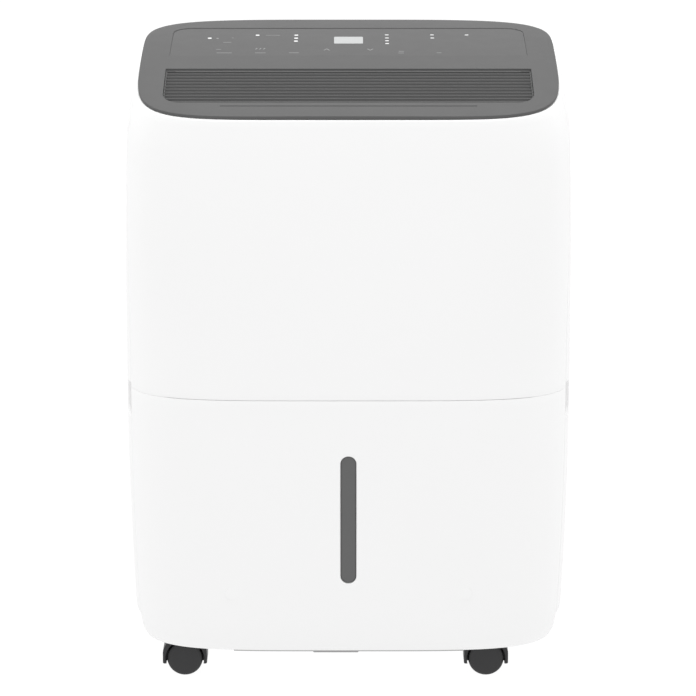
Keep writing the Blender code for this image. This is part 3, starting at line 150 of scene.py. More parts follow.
WINDOW_HALF_WIDTH = 0.1285
WINDOW_LOW_Z = 0.2740
WINDOW_HIGH_Z = 0.4460
WINDOW_RADIUS = 0.0040
GRILLE_RIB_XS = (-0.0600, 0.0, 0.0600)
GRILLE_BORDER = 0.0080
GRILLE_GAP = 0.0005
GRILLE_CUT = (0.080, 0.140)
GRILLE_SLATS = 24
GRILLE_SLAT = (0.0009, 0.0011)
GRILLE_RIB = ((-0.0009, -0.0008), (0.0009, -0.0008), (0.0009, 0.0008), (-0.0009, 0.0008))
GRILLE_THICKNESS = 0.0026
GRILLE_OVERLAP = 0.0010
GRILLE_SLAT_INSET = 0.0012
GRILLE_RIB_INSET = 0.0018
SCREW_HEAD = ((0.0030, -0.0006), (0.0030, 0.0002), (0.0022, 0.0008), (0.0006, 0.0010))
SCREW_CROSS = (0.0017, 0.0003)
SCREW_PLACES = ((-0.105, 0.062), (-0.105, 0.462), (0.105, 0.062), (0.105, 0.462))

TUB_SIZE = (0.2920, 0.1110)
TUB_Y = -0.0555
TUB_Z = (0.0535, 0.1900)
TUB_RADIUS = 0.0300
TUB_WALL = 0.0020
TUB_DRAFT = 0.0030
TUB_ROUND = 0.0040
TUB_FLOOR_MARGINS = (0.0080, 0.0100)
SLOT_WIDTH = 0.0122
SLOT_Z = (0.0882, 0.1908)
SLOT_ROUND = 0.0005
BUCKET_WINDOW_EDGE = ((0.0002, 0.0090), (0.0002, 0.0016), (0.0004, 0.0012), (0.0008, 0.0010),
                      (0.0020, 0.0009))
BOSS_XS = (-0.090, 0.090)
BOSS_ZS = (0.080, 0.165)
BOSS_Y = (-0.1188, -0.1114)
BOSS_RADIUS = 0.0050
PULL_LIP = ((-0.0286, 0.0340), (-0.0270, 0.0303), (0.0075, 0.0303), (0.0091, 0.0340))
PULL_LIP_Y = (-0.1150, -0.1133)
# A grey strip of painted shadow along the bucket front's lower edge.
SHADOW_STRIP_Z = (0.0312, 0.0321)
SHADOW_STRIP_INSET = (0.0003, 0.0012)
SHADOW_STRIP_SPAN = (radians(-128), radians(-52))
HANDLE_PIVOT = (0.0, -0.0550, 0.1990)
HANDLE_HALF_WIDTH = 0.1015
HANDLE_REACH = 0.0350
HANDLE_BAR = 0.0050
HANDLE_BEND = 0.0080
HANDLE_PIN_RADIUS = 0.0020
HANDLE_PIN_ROUND = 0.0005
HANDLE_PIN_ENDS = (-0.0020, 0.0046)

DRAIN_XZ = (-0.0950, 0.2530)
DRAIN_HOLE = 0.0155
GLAND_XZ = (0.0600, 0.0750)
GLAND_HOLE = 0.0078

CASTER_X = 0.1185
CASTER_Y = 0.0740
CASTER_TRAIL = 0.0102
WHEEL_RADIUS = 0.0140
WHEEL_HALF_WIDTH = 0.0038
WHEEL_OFFSET = 0.0074
AXLE_RADIUS = 0.0020
HOOD_HALF_LENGTH = 0.0174
HOOD_HALF_WIDTH = 0.0112
HOOD_Z = (0.0098, 0.0302)
HOOD_POCKET = ((0.0152, 0.0032), (0.0152, 0.0108), (0.0166, 0.0122))
HOOD_ROUND = 0.0010
HOOD_CROWN = 0.0120
HOOD_FOOT = 0.0011
STEM_HOLE = (0.0021, 0.0230, 0.0340)

# ---------------------------------------------------------------- sizes of the looks

LOOK_PREFIX = "look_"
FINE_SOFTENING = 0.0002
GRILLE_SOFTENING = 0.0004
SHARP = 35
COLUMN_STEP = radians(1.5)
ROW_STEP = 0.0060
EDGE_STEPS = (0.0, 0.12, 0.32, 0.62, 1.0)
SEAM_ROUND = 0.0003
TOP_ROUND = 0.0012
BOTTOM_ROUND = 0.0010
SEAM_REACH = 0.185
SEAM_CLOSING = (0.00017, 0.00028)
SEAM_SHOWS_TO_X = 0.1375

GROOVE_Y = -0.1020
GROOVE_HALF_WIDTH = 0.0960
GROOVE_SECTION = ((-0.0009, 0.0010), (0.0009, 0.0010), (0.0004, -0.0009), (-0.0001, -0.0009))
MARK_RISE = (-0.0001, 0.00005)
MARK_WIDTH = 0.0008
MARK_DOT = (0.0010, -0.1026, 0.0291)
# Dashes as (first x, last x, y), then the slanted bars and the arrows as (x, way they point).
MARK_DASHES = (
    (-0.0978, -0.0914, 0.0180), (-0.1020, -0.0902, -0.0082), (-0.0915, -0.0900, 0.0305),
    (-0.1025, -0.0987, 0.0001), (-0.0650, -0.0537, 0.0385), (-0.0722, -0.0640, -0.0082),
    (-0.0460, -0.0384, -0.0080), (0.0385, 0.0428, -0.0085), (0.0390, 0.0430, -0.0045),
    (0.0682, 0.0720, -0.0080),
)
MARK_BAR_XS = (-0.0720, -0.0690, -0.0660)
MARK_ARROWS = ((-0.0168, 1), (0.0169, -1))
MARK_ARROW_Y = -0.0005
MOUTH_ROUND = 0.0009
CUTTER_REACH = 0.0200
SIDE_CUT = 0.0060
BACK_CUT = 0.0080
TOP_CUT = (0.430, 0.500)
SLAT_LEAN = 0.0016
SLAT_WIDTH = 0.0012
VENT_RIM = ((0.0002, VENT_DEPTH), (0.0002, 0.0004), (0.0012, 0.0004), (0.0014, VENT_DEPTH))
VENT_RIB_HALF_WIDTH = 0.0008
VENT_RIB_DEPTH = 0.0040
VENT_OVERLAP = 0.0010
VENT_LEDGE = 0.0022
VENT_LEDGE_HALF_WIDTH = 0.1320
PANEL_UNDER_SCALES = (0.10, 0.30, 0.50, 0.70, 0.94)
PANEL_ROLL = ((0.0003, 0.92), (0.0009, 0.80), (0.0020, 0.58), (0.0035, 0.38), (0.0052, 0.22),
              (0.0070, 0.10), (0.0095, 0.0))

CAMERA_PLACE = (0.0, -2.400, 0.864)
CAMERA_DOWN = radians(14.47)
CAMERA_LENS = 161.3
CAMERA_SENSOR = 36.0
CAMERA_SHIFT_X = -0.0006

FLOOR_GLOW = 0.97
SKY_STRENGTH = 0.90
FLOOR_SIZE = 9.0
LAMP_TARGET = (0.0, 0.0, 0.25)
LAMPS = (
    ("key", (-1.6, -2.2, 1.8), (1.6, 1.6), 2.5),
    ("fill", (1.9, -1.6, 1.2), (1.4, 1.4), 0.8),
    ("left_side", (-2.2, 0.3, 0.6), (0.8, 1.6), 2.3),
    ("right_side", (2.2, 0.3, 0.6), (0.8, 1.6), 2.3),
    ("overhead", (0.0, 0.0, 2.0), (2.2, 1.8), 24.0),
)

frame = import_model()


# ---------------------------------------------------------------- materials

def add_node(tree, kind, **inputs):
    """Adds a shader node, with its named sockets set to values or linked from others."""
    node = tree.nodes.new(kind)
    for name, value in inputs.items():
        socket = node.inputs[name.replace("_", " ")]
        if isinstance(value, bpy.types.NodeSocket):
            tree.links.new(value, socket)
        else:
            socket.default_value = value
    return node


def mottle(tree, place, scale, dark, light):
    """A colour that wanders between two others."""
    noise = add_node(tree, "ShaderNodeTexNoise", Vector=place, Scale=scale, Detail=3.0)
    mix = tree.nodes.new("ShaderNodeMix")
    mix.data_type = "RGBA"
    tree.links.new(noise.outputs["Fac"], mix.inputs["Factor"])
    for socket, value in (("A", dark), ("B", light)):
        for each in mix.inputs:
            if each.name == socket and each.type == "RGBA":
                each.default_value = (*value, 1.0)
    colors = [each for each in mix.outputs if each.type == "RGBA"]
    return colors[0]


def spread(tree, value, low, high):
    """Maps a value from 0..1 to a narrow range."""
    mapped = add_node(tree, "ShaderNodeMapRange", Value=value)
    mapped.inputs["To Min"].default_value = low
    mapped.inputs["To Max"].default_value = high
    return mapped.outputs["Result"]


def surface(name, color, roughness, metallic=0.0, variation=0.03, grain=900.0, depth=0.00002,
            specular=0.5, glow=0.0, pattern=None):
    """A moulded or painted surface: mottled colour, uneven gloss and a fine grain.

    A glow keeps the shadows on the pale floor faint.
    """
    label = LOOK_PREFIX + name
    found = bpy.data.materials.get(label)
    if found:
        return found
    made = bpy.data.materials.new(label)
    made.use_nodes = True
    tree = made.node_tree
    shader = tree.nodes["Principled BSDF"]
    place = tree.nodes.new("ShaderNodeTexCoord").outputs["Object"]
    dark = tuple(channel * (1 - variation) for channel in color)
    light = tuple(min(channel * (1 + variation), 1.0) for channel in color)
    tree.links.new(mottle(tree, place, 14.0, dark, light), shader.inputs["Base Color"])
    shader.inputs["Metallic"].default_value = metallic
    shader.inputs["Specular IOR Level"].default_value = specular
    cloud = add_node(tree, "ShaderNodeTexNoise", Vector=place, Scale=60.0, Detail=2.0)
    tree.links.new(spread(tree, cloud.outputs["Fac"], roughness - 0.05, roughness + 0.05),
                   shader.inputs["Roughness"])
    fine = add_node(tree, "ShaderNodeTexNoise", Vector=place, Scale=grain, Detail=1.0)
    height = fine.outputs["Fac"] if pattern is None else pattern(tree, place)
    bump = add_node(tree, "ShaderNodeBump", Height=height, Distance=depth, Strength=1.0)
    tree.links.new(bump.outputs["Normal"], shader.inputs["Normal"])
    if glow:
        shader.inputs["Emission Color"].default_value = (1.0, 1.0, 1.0, 1.0)
        shader.inputs["Emission Strength"].default_value = glow
    return made


def stretched(tree, place, scale):
    """Coordinates pulled out along an axis, for brushed metal and fins."""
    mapping = add_node(tree, "ShaderNodeMapping", Vector=place)
    mapping.inputs["Scale"].default_value = scale
    return mapping.outputs["Vector"]


def brushed(tree, place):
    """Long scratches across the surface."""
    lines = stretched(tree, place, (40.0, 40.0, 3000.0))
    return add_node(tree, "ShaderNodeTexNoise", Vector=lines, Scale=1.0, Detail=3.0).outputs["Fac"]


def woven(tree, place):
    """Crossed threads of a filter mesh, in the XZ plane."""
    threads = []
    for direction in ("X", "Z"):
        wave = add_node(tree, "ShaderNodeTexWave", Vector=place, Scale=150.0)
        wave.bands_direction = direction
        threads.append(wave.outputs["Fac"])
    crossed = tree.nodes.new("ShaderNodeMath")
    crossed.operation = "MAXIMUM"
    tree.links.new(threads[0], crossed.inputs[0])
    tree.links.new(threads[1], crossed.inputs[1])
    return crossed.outputs["Value"]


def grey(level):
    return (level, level, level)


LOOKS = {
    "white_plastic": dict(color=grey(0.85), roughness=0.48, variation=0.006),
    "panel_plastic": dict(color=grey(0.080), roughness=0.60, variation=0.02),
    "film_plastic": dict(color=grey(0.083), roughness=0.58, variation=0.015, grain=2500.0),
    "vent_plastic": dict(color=grey(0.082), roughness=0.52, variation=0.03),
    "display_plastic": dict(color=(0.44, 0.45, 0.45), roughness=0.30, variation=0.01, grain=2500.0),
    "lens_plastic": dict(color=grey(0.80), roughness=0.30, variation=0.01),
    "mark_ink": dict(color=grey(0.27), roughness=0.50, variation=0.05),
    "smoked_plastic": dict(color=grey(0.094), roughness=0.30, variation=0.02,
                           grain=2500.0),
    "inner_plastic": dict(color=(0.55, 0.56, 0.57), roughness=0.60, variation=0.04),
    # Painted shade: the pull lip is grey to stand in for the shade under the bucket front.
    "lip_plastic": dict(color=grey(0.26), roughness=0.50, variation=0.03),
    # Painted shadow: the grey of the strip along the bucket front's lower edge.
    "hem_plastic": dict(color=grey(0.40), roughness=0.50, variation=0.03),
    "bucket_plastic": dict(color=(0.78, 0.80, 0.82), roughness=0.32, variation=0.015),
    "caster_plastic": dict(color=(0.011, 0.011, 0.012), roughness=0.42, variation=0.10),
    "wheel_plastic": dict(color=(0.013, 0.013, 0.014), roughness=0.48, variation=0.08),
    "black_paint": dict(color=grey(0.03), roughness=0.38, metallic=0.2, variation=0.15,
                        grain=350.0, depth=0.00006),
    "fin_aluminium": dict(color=(0.75, 0.76, 0.78), roughness=0.35, metallic=1.0, variation=0.06),
    "copper": dict(color=(0.72, 0.36, 0.22), roughness=0.32, metallic=1.0, variation=0.14,
                   grain=300.0),
    "steel": dict(color=(0.60, 0.60, 0.62), roughness=0.32, metallic=1.0, variation=0.05,
                  pattern=brushed),
    "rubber": dict(color=grey(0.030), roughness=0.80, variation=0.12),
    "board_green": dict(color=(0.04, 0.22, 0.09), roughness=0.45, variation=0.15),
    "filter_fabric": dict(color=(0.08, 0.08, 0.09), roughness=0.90, variation=0.15, depth=0.0006,
                          pattern=woven),
    "floor_paper": dict(color=grey(0.10), roughness=0.90, variation=0.01, specular=0.0,
                        glow=FLOOR_GLOW),
}


def look(name):
    return surface(name, **LOOKS[name])


# ---------------------------------------------------------------- outlines

def circle(radius, sides):
    return [(radius * cos(2 * pi * k / sides), radius * sin(2 * pi * k / sides))
            for k in range(sides)]


def arc(centre, radius, start, turn, steps):
    """Points on part of a circle, from an angle through a turn."""
    angles = [start + turn * k / steps for k in range(steps + 1)]
    return [(centre[0] + radius * cos(angle), centre[1] + radius * sin(angle))
            for angle in angles]


def quarter(steps):
    """(1 - sine, 1 - cosine) at even steps through a right angle, for rounding an edge."""
    angles = [k * pi / 2 / steps for k in range(steps + 1)]
    return [(1 - sin(angle), 1 - cos(angle)) for angle in angles]


def rounded_rectangle(width, height, radius, steps=8):
    """Points of a rectangle with round corners, centred on (0, 0), going anticlockwise."""
    points = []
    for corner, (u, v) in enumerate(((1, 1), (-1, 1), (-1, -1), (1, -1))):
        centre = (u * (width / 2 - radius), v * (height / 2 - radius))
        points += arc(centre, radius, corner * pi / 2, pi / 2, steps)
    return points


def moved(outline, u, v):
    return [(point[0] + u, point[1] + v) for point in outline]


def vent_outline(margin):
    """The vent's opening in plan, drawn in by a margin: square behind, round in front."""
    half = VENT_HALF_WIDTH - margin
    front = VENT_FRONT_Y + margin
    back = VENT_BACK_Y - margin
    points = [(half, back), (-half, back)]
    for side in (-1, 1):
        bend = [(side * (half - VENT_CORNER[0] * v), front + VENT_CORNER[1] * u)
                for u, v in quarter(12)]
        points += bend if side < 0 else reversed(bend)
    return points


def film_outline(margin):
    """The control area in plan: its back corners are round, its front ones square."""
    half = FILM_HALF_WIDTH - margin
    front = FILM_FRONT_Y + margin
    back = FILM_BACK_Y - margin
    rows = [front + (back - FILM_CORNER - front) * k / 12 for k in range(12)]
    points = [(x, front) for x in steps_between(-half, half, 0.010)]
    points += [(half, y) for y in rows[1:]]
    for side in (1, -1):
        bend = [(side * (half - FILM_CORNER * v), back - FILM_CORNER * u) for u, v in quarter(12)]
        points += bend if side > 0 else reversed(bend)
    points += [(-half, y) for y in reversed(rows[1:])]
    return points


# ---------------------------------------------------------------- casing surface

def barrel_drop(z):
    rate = BARREL_ABOVE if z > WAIST_Z else BARREL_BELOW
    return rate * (z - WAIST_Z) ** 2


def bottom_tuck(z):
    part = (CASING_BOTTOM_Z + TUCK_HEIGHT - z) / TUCK_HEIGHT
    part = min(max(part, 0.0), 1.0)
    return 1.0 - sqrt(1.0 - part * part)


def casing_sizes(z, below_edge=1.0, inset=0.0):
    """Half width, front half depth and back half depth of the casing at a height."""
    drop = barrel_drop(z) + inset
    tuck = bottom_tuck(z)
    shoulder = max(0.0, 1.0 - below_edge / SHOULDER_HEIGHT) ** 2
    return (HALF_WIDTH - drop - SIDE_TUCK * tuck - SIDE_SHOULDER * shoulder,
            HALF_DEPTH - drop - FRONT_TUCK * tuck - FRONT_SHOULDER * shoulder,
            HALF_DEPTH - drop - FRONT_TUCK * tuck - BACK_SHOULDER * shoulder)


def plan_power(z, at_back):
    low, high = POWER_CHANGE_Z
    part = min(max((z - low) / (high - low), 0.0), 1.0)
    part = part * part * (3 - 2 * part)
    top = BACK_TOP_POWER if at_back else FRONT_TOP_POWER
    return PLAN_POWER + (top - PLAN_POWER) * part


def plan_point(sizes, angle, z):
    """The point of the casing's oval at a height that lies in the direction of the angle."""
    across = cos(angle)
    along = sin(angle)
    half_depth = sizes[2] if along > 0 else sizes[1]
    power = plan_power(z, along > 0)
    total = abs(across / sizes[0]) ** power + abs(along / half_depth) ** power
    radius = total ** (-1 / power)
    return radius * across, radius * along


def panel_height(y):
    return PANEL_PEAK_Z - PANEL_CURVE * (y - PANEL_PEAK_Y) ** 2


def edge_height(angle):
    """Height of the casing's upper edge, just under the top panel."""
    return panel_height(plan_point(PANEL_SIZES, angle, PANEL_PEAK_Z)[1]) - LIP_HEIGHT


def casing_point(angle, z, inset=0.0):
    sizes = casing_sizes(z, edge_height(angle) - z, inset)
    return (*plan_point(sizes, angle, z), z)


def back_y(x, z, inset=0.0):
    half_width, _, half_depth = casing_sizes(z, inset=inset)
    power = plan_power(z, True)
    return half_depth * (1 - abs(x / half_width) ** power) ** (1 / power)


def side_x(y, z, inset=0.0):
    half_width, front, back = casing_sizes(z, inset=inset)
    half_depth = back if y > 0 else front
    power = plan_power(z, y > 0)
    return half_width * (1 - abs(y / half_depth) ** power) ** (1 / power)


def front_y(x, z, inset=0.0):
    half_width, half_depth, _ = casing_sizes(z, inset=inset)
    power = plan_power(z, False)
    return -half_depth * (1 - abs(x / half_width) ** power) ** (1 / power)


def steps_between(start, end, size):
    count = max(1, round(abs(end - start) / size))
    return [start + (end - start) * k / count for k in range(count + 1)]


# ---------------------------------------------------------------- solids

def place(axis, u, v, w):
    """A point from two coordinates across an axis and one along it."""
    return {"x": (w, u, v), "y": (u, w, v), "z": (u, v, w)}[axis]


def add_loft(shape, rings, closed=False):
    """Joins rings of points with faces; the end rings are filled unless it closes on itself."""
    loops = [[shape.verts.new(point) for point in ring] for ring in rings]
    pairs = list(zip(loops, loops[1:]))
    if closed:
        pairs.append((loops[-1], loops[0]))
    for lower, upper in pairs:
        for k in range(len(lower)):
            after = (k + 1) % len(lower)
            shape.faces.new((lower[k], lower[after], upper[after], upper[k]))
    if not closed:
        shape.faces.new(loops[0])
        shape.faces.new(loops[-1])


def lofted(rings, closed=False):
    shape = bmesh.new()
    add_loft(shape, rings, closed)
    return shape


def add_prism(shape, axis, outline, low, high):
    add_loft(shape, [[place(axis, u, v, w) for u, v in outline] for w in (low, high)])


def prism(axis, outline, low, high):
    shape = bmesh.new()
    add_prism(shape, axis, outline, low, high)
    return shape


def add_turned(shape, axis, centre, profile, sides=64, closed=False):
    """A turned solid from (radius, position along the axis) pairs."""
    rings = []
    for radius, along in profile:
        outline = moved(circle(radius, sides), *centre)
        rings.append([place(axis, u, v, along) for u, v in outline])
    add_loft(shape, rings, closed)


def add_grid_solid(shape, columns, rows, outer, inner):
    """A sheet with thickness between two surfaces, each a function of column and row."""
    sides = []
    for skin in (outer, inner):
        sides.append([[shape.verts.new(skin(u, v)) for v in rows] for u in columns])
    last_u = len(columns) - 1
    last_v = len(rows) - 1
    for grid in sides:
        for i in range(last_u):
            for j in range(last_v):
                shape.faces.new((grid[i][j], grid[i + 1][j], grid[i + 1][j + 1], grid[i][j + 1]))
    front, back = sides
    for i in range(last_u):
        for j in (0, last_v):
            shape.faces.new((front[i][j], front[i + 1][j], back[i + 1][j], back[i][j]))
    for j in range(last_v):
        for i in (0, last_u):
            shape.faces.new((front[i][j], front[i][j + 1], back[i][j + 1], back[i][j]))


def add_bar(shape, path, section, across, up):
    """Sweeps a section along a path, keeping it in the two directions given."""
    across = Vector(across)
    up = Vector(up)
    rings = []
    for point in path:
        rings.append([Vector(point) + u * across + v * up for u, v in section])
    add_loft(shape, rings)


def settle(mesh, sharp):
    mesh.shade_smooth()
    mesh.set_sharp_from_angle(angle=radians(sharp))


def to_object(name, shape, finish=None, sharp=SHARP):
    """A shape as an object, with the look of this name."""
    bmesh.ops.recalc_face_normals(shape, faces=shape.faces)
    mesh = bpy.data.meshes.new(name)
    shape.to_mesh(mesh)
    shape.free()
    if finish:
        mesh.materials.append(look(finish))
    settle(mesh, sharp)
    made = bpy.data.objects.new(name, mesh)
    bpy.context.scene.collection.objects.link(made)
    return made


def bake_modifiers(target):
    """Applies a piece's modifiers to its mesh."""
    bpy.context.view_layer.update()
    graph = bpy.context.evaluated_depsgraph_get()
    result = bpy.data.meshes.new_from_object(target.evaluated_get(graph))
    target.modifiers.clear()
    target.data = result
    settle(result, SHARP)


def combine(target, operation, shape):
    """Cuts a shape out of a piece, or unites or intersects it with the piece."""
    tool = to_object(target.name + "_tool", shape)
    modifier = target.modifiers.new("shape", "BOOLEAN")
    modifier.operation = operation
    modifier.solver = "EXACT"
    modifier.object = tool
    bake_modifiers(target)
    bpy.data.objects.remove(tool, do_unlink=True)


def cut(target, shape):
    combine(target, "DIFFERENCE", shape)


def unite(target, shape):
    combine(target, "UNION", shape)


def attach(target, shape):
    """Adds a shape to a piece as it stands, where the two may run into each other."""
    bmesh.ops.recalc_face_normals(shape, faces=shape.faces)
    shape.from_mesh(target.data)
    shape.to_mesh(target.data)
    shape.free()
    settle(target.data, SHARP)


def dress(piece, body, *nodes, slot=None):
    """Puts a finished piece on its body, in place of the CAD nodes it stands for.

    Its slot is worked out from its look, unless another slot is given, but is not used.
    """
    slot = slot or piece.data.materials[0].name.removeprefix(LOOK_PREFIX)
    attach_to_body(piece, body)
    if nodes:
        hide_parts(*nodes)


def soften(piece, width, segments=2):
    """Rounds a piece's sharp edges."""
    bevel = piece.modifiers.new("edges", "BEVEL")
    bevel.width = width
    bevel.segments = segments
    bevel.limit_method = "ANGLE"
    bevel.angle_limit = radians(40)
    bevel.use_clamp_overlap = True
    bevel.harden_normals = False
    bake_modifiers(piece)


def refine(node, slot, width):
    """A copy of a CAD node with softened edges, shown in its place."""
    body = frame["nodes"][node]["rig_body"]
    shape = bmesh.new()
    shape.from_mesh(frame["nodes"][node].data)
    bmesh.ops.remove_doubles(shape, verts=shape.verts, dist=0.000002)
    bmesh.ops.dissolve_limit(shape, angle_limit=radians(0.5), verts=shape.verts,
                             edges=shape.edges)
    piece = to_object(node + "_piece", shape, slot)
    soften(piece, width)
    dress(piece, body, node)


# ---------------------------------------------------------------- casing

def fall_near_edge(distance, radius):
    """How far a surface falls away this close to a rounded edge."""
    part = min(max(1.0 - distance / radius, 0.0), 1.0)
    return radius * (1.0 - sqrt(1.0 - part * part))


def seam_columns(start, end):
    """Angles round the casing with the fall at each; the two ends are rounded."""
    turn = SEAM_ROUND / SEAM_REACH
    near = [(start + turn * step, fall_near_edge(SEAM_ROUND * step, SEAM_ROUND))
            for step in EDGE_STEPS]
    far = [(end - turn * step, fall) for (_, fall), step in zip(near, EDGE_STEPS)]
    middle = [(angle, 0.0) for angle in steps_between(near[-1][0], far[-1][0], COLUMN_STEP)]
    return near[:-1] + middle + far[-2::-1]


def height_rows(low, high, low_round, high_round):
    """Heights as (share of the span, offset, fall); both ends are rounded."""
    bottom = [(0.0, low_round * step, fall_near_edge(low_round * step, low_round))
              for step in EDGE_STEPS]
    top = [(1.0, -high_round * step, fall_near_edge(high_round * step, high_round))
           for step in reversed(EDGE_STEPS)]
    count = round((high - low) / ROW_STEP)
    middle = [(k / count, 0.0, 0.0) for k in range(1, count)]
    return bottom + middle + top


def seam_closing(angle):
    """The bucket's seam is a fine line across the front, and tighter round the corners."""
    x, _, _ = casing_point(angle, BUCKET_SEAM_Z)
    beyond = min(max((abs(x) - SEAM_SHOWS_TO_X) / 0.004, 0.0), 1.0)
    return SEAM_CLOSING[0] + (SEAM_CLOSING[1] - SEAM_CLOSING[0]) * beyond


def casing_sheet(name, start, end, bottom, top, low_round, high_round):
    """A sheet of the casing between two angles; its lower and upper heights follow the angle."""
    rows = height_rows(bottom(-pi / 2), top(-pi / 2), low_round, high_round)

    def height(angle, row):
        return bottom(angle) + row[0] * (top(angle) - bottom(angle)) + row[1]

    def outer(column, row):
        return casing_point(column[0], height(column[0], row), column[1] + row[2])

    def inner(column, row):
        return casing_point(column[0], height(column[0], row), WALL)

    shape = bmesh.new()
    add_grid_solid(shape, seam_columns(start, end), rows, outer, inner)
    return to_object(name, shape, "white_plastic")


def lipped_cutter(ring, depth):
    """A cutter through a curved wall whose mouth is rounded: ring(margin, inset) gives its loops."""
    rings = [ring(-2.0 * MOUTH_ROUND, -CUTTER_REACH), ring(-2.0 * MOUTH_ROUND, -MOUTH_ROUND)]
    rings += [ring(-MOUTH_ROUND * u, MOUTH_ROUND * v) for u, v in quarter(5)]
    rings.append(ring(0.0, depth))
    return lofted(rings)


def dense(outline, size=0.0060):
    """The outline with points added along its long edges, so that it follows a curved wall."""
    points = []
    for start, end in zip(outline, outline[1:] + outline[:1]):
        count = max(1, round(hypot(end[0] - start[0], end[1] - start[1]) / size))
        points += [(start[0] + (end[0] - start[0]) * k / count,
                    start[1] + (end[1] - start[1]) * k / count) for k in range(count)]
    return points


def grip_outline(margin):
    outline = rounded_rectangle(GRIP_WIDTH - 2 * margin, GRIP_HEIGHT - 2 * margin,
                                GRIP_RADIUS - margin, 12)
    return dense(moved(outline, GRIP_Y, GRIP_Z))


def notch_outline(margin):
    width = NOTCH_Y[1] - NOTCH_Y[0] - 2 * margin
    height = NOTCH_Z[1] - NOTCH_Z[0] - 2 * margin
    outline = rounded_rectangle(width, height, NOTCH_RADIUS - margin)
    return moved(outline, sum(NOTCH_Y) / 2, sum(NOTCH_Z) / 2)


def window_outline(margin, radius):
    """The opening in the back for the intake grille, drawn in by a margin."""
    outline = rounded_rectangle(2 * (WINDOW_HALF_WIDTH - margin),
                                WINDOW_HIGH_Z - WINDOW_LOW_Z - 2 * margin, radius, 6)
    return moved(outline, 0.0, (WINDOW_LOW_Z + WINDOW_HIGH_Z) / 2)


def on_side(outline, side, inset):
    return [(side * side_x(y, z, inset), y, z) for y, z in outline]


def on_back(outline, inset):
    return [(x, back_y(x, z, inset), z) for x, z in outline]


def build_front_cover():
    cover = casing_sheet("front_cover_piece", *FRONT_SPAN,
                         lambda angle: BUCKET_SEAM_Z + GAP - seam_closing(angle),
                         edge_height, SEAM_ROUND, TOP_ROUND)
    dress(cover, "housing", "front_cover")


def rear_openings():
    """Every opening of the rear shell, each with a rounded mouth."""
    cutters = []
    for side in (-1, 1):
        for outline in (grip_outline, notch_outline):
            cutters.append(lipped_cutter(lambda margin, inset, s=side, o=outline:
                                         on_side(o(margin), s, inset), SIDE_CUT))
    cutters.append(lipped_cutter(lambda margin, inset: on_back(dense(
        window_outline(margin, WINDOW_RADIUS - margin)), inset), BACK_CUT))
    for centre, radius in ((DRAIN_XZ, DRAIN_HOLE), (GLAND_XZ, GLAND_HOLE)):
        cutters.append(lipped_cutter(lambda margin, inset, c=centre, r=radius:
                                     on_back(moved(circle(r - margin, 48), *c), inset), BACK_CUT))
    return cutters


def build_rear_shell():
    shell = casing_sheet("rear_shell_piece", *REAR_SPAN, lambda angle: REAR_BOTTOM_Z,
                         edge_height, BOTTOM_ROUND, TOP_ROUND)
    for cutter in rear_openings():
        cut(shell, cutter)
    dress(shell, "housing", "rear_shell")


def build_carry_handle(side, label):
    """A cup for the fingers, with a rounded mouth and a dished floor."""
    floor_x = side_x(GRIP_Y, GRIP_Z) - GRIP_DEPTH

    def floor(margin, depth):
        return [(side * (floor_x - depth), y, z) for y, z in grip_outline(margin)]

    rings = [floor(0.0080, GRIP_WALL), on_side(grip_outline(GAP), side, 0.0040)]
    rings += [on_side(grip_outline(GAP + MOUTH_ROUND * v), side, GAP + MOUTH_ROUND * u)
              for u, v in quarter(4)]
    rings.append(on_side(grip_outline(0.0025), side, GAP + 0.0012))
    rings.append(on_side(grip_outline(0.0030), side, 0.0040))
    rings += [floor(0.0050 + GRIP_FILLET * v, -GRIP_FILLET * u) for u, v in quarter(5)]
    cup = to_object(f"carry_handle_{label}_piece", lofted(rings), "white_plastic")
    dress(cup, "housing", "carry_handle_" + label)


def build_finger_scoop(side, label):
    """A shallow dish behind the finger notch, beside the bucket's edge."""
    width = SCOOP_Y[1] - SCOOP_Y[0]
    height = NOTCH_Z[1] - NOTCH_Z[0] + 0.0040
    centre = (sum(SCOOP_Y) / 2, sum(NOTCH_Z) / 2)

    def ring(margin, inset):
        outline = rounded_rectangle(width - 2 * margin, height - 2 * margin, SCOOP_RADIUS - margin)
        return on_side(moved(outline, *centre), side, inset)

    rings = [ring(0.0060, WALL + SCOOP_DEPTH + SCOOP_WALL)]
    rings += [ring(0.0055 * v, WALL + SCOOP_WALL + SCOOP_DEPTH * (1 - u))
              for u, v in reversed(quarter(5))]
    rings += [ring(0.0, WALL + 0.0001), ring(0.0008, WALL + 0.0001)]
    rings += [ring(SCOOP_WALL + 0.0050 * v, WALL + SCOOP_DEPTH * (1 - u))
              for u, v in quarter(5)[1:]]
    scoop = to_object("finger_scoop_" + label, lofted(rings), "white_plastic")
    dress(scoop, "housing")


# ---------------------------------------------------------------- top

def rolled_edge(angle):
    """How far the panel's rim lies below the arch: little in front, more behind."""
    blend = (1 + sin(angle)) / 2
    return FRONT_ROLL + (BACK_ROLL - FRONT_ROLL) * blend


def panel_ring(angles, scale, inset, down):
    points = []
    for angle in angles:
        sizes = [scale * size - inset for size in PANEL_SIZES]
        x, y = plan_point(sizes, angle, PANEL_PEAK_Z)
        points.append((x, y, panel_height(y) - down(angle)))
    return points


def film_height(y):
    """The control area dips below the arch behind, and meets it in front."""
    part = (y - FILM_FRONT_Y) / (FILM_BACK_Y - FILM_FRONT_Y)
    return panel_height(y) - FILM_BACK_STEP * part * part * (3 - 2 * part)


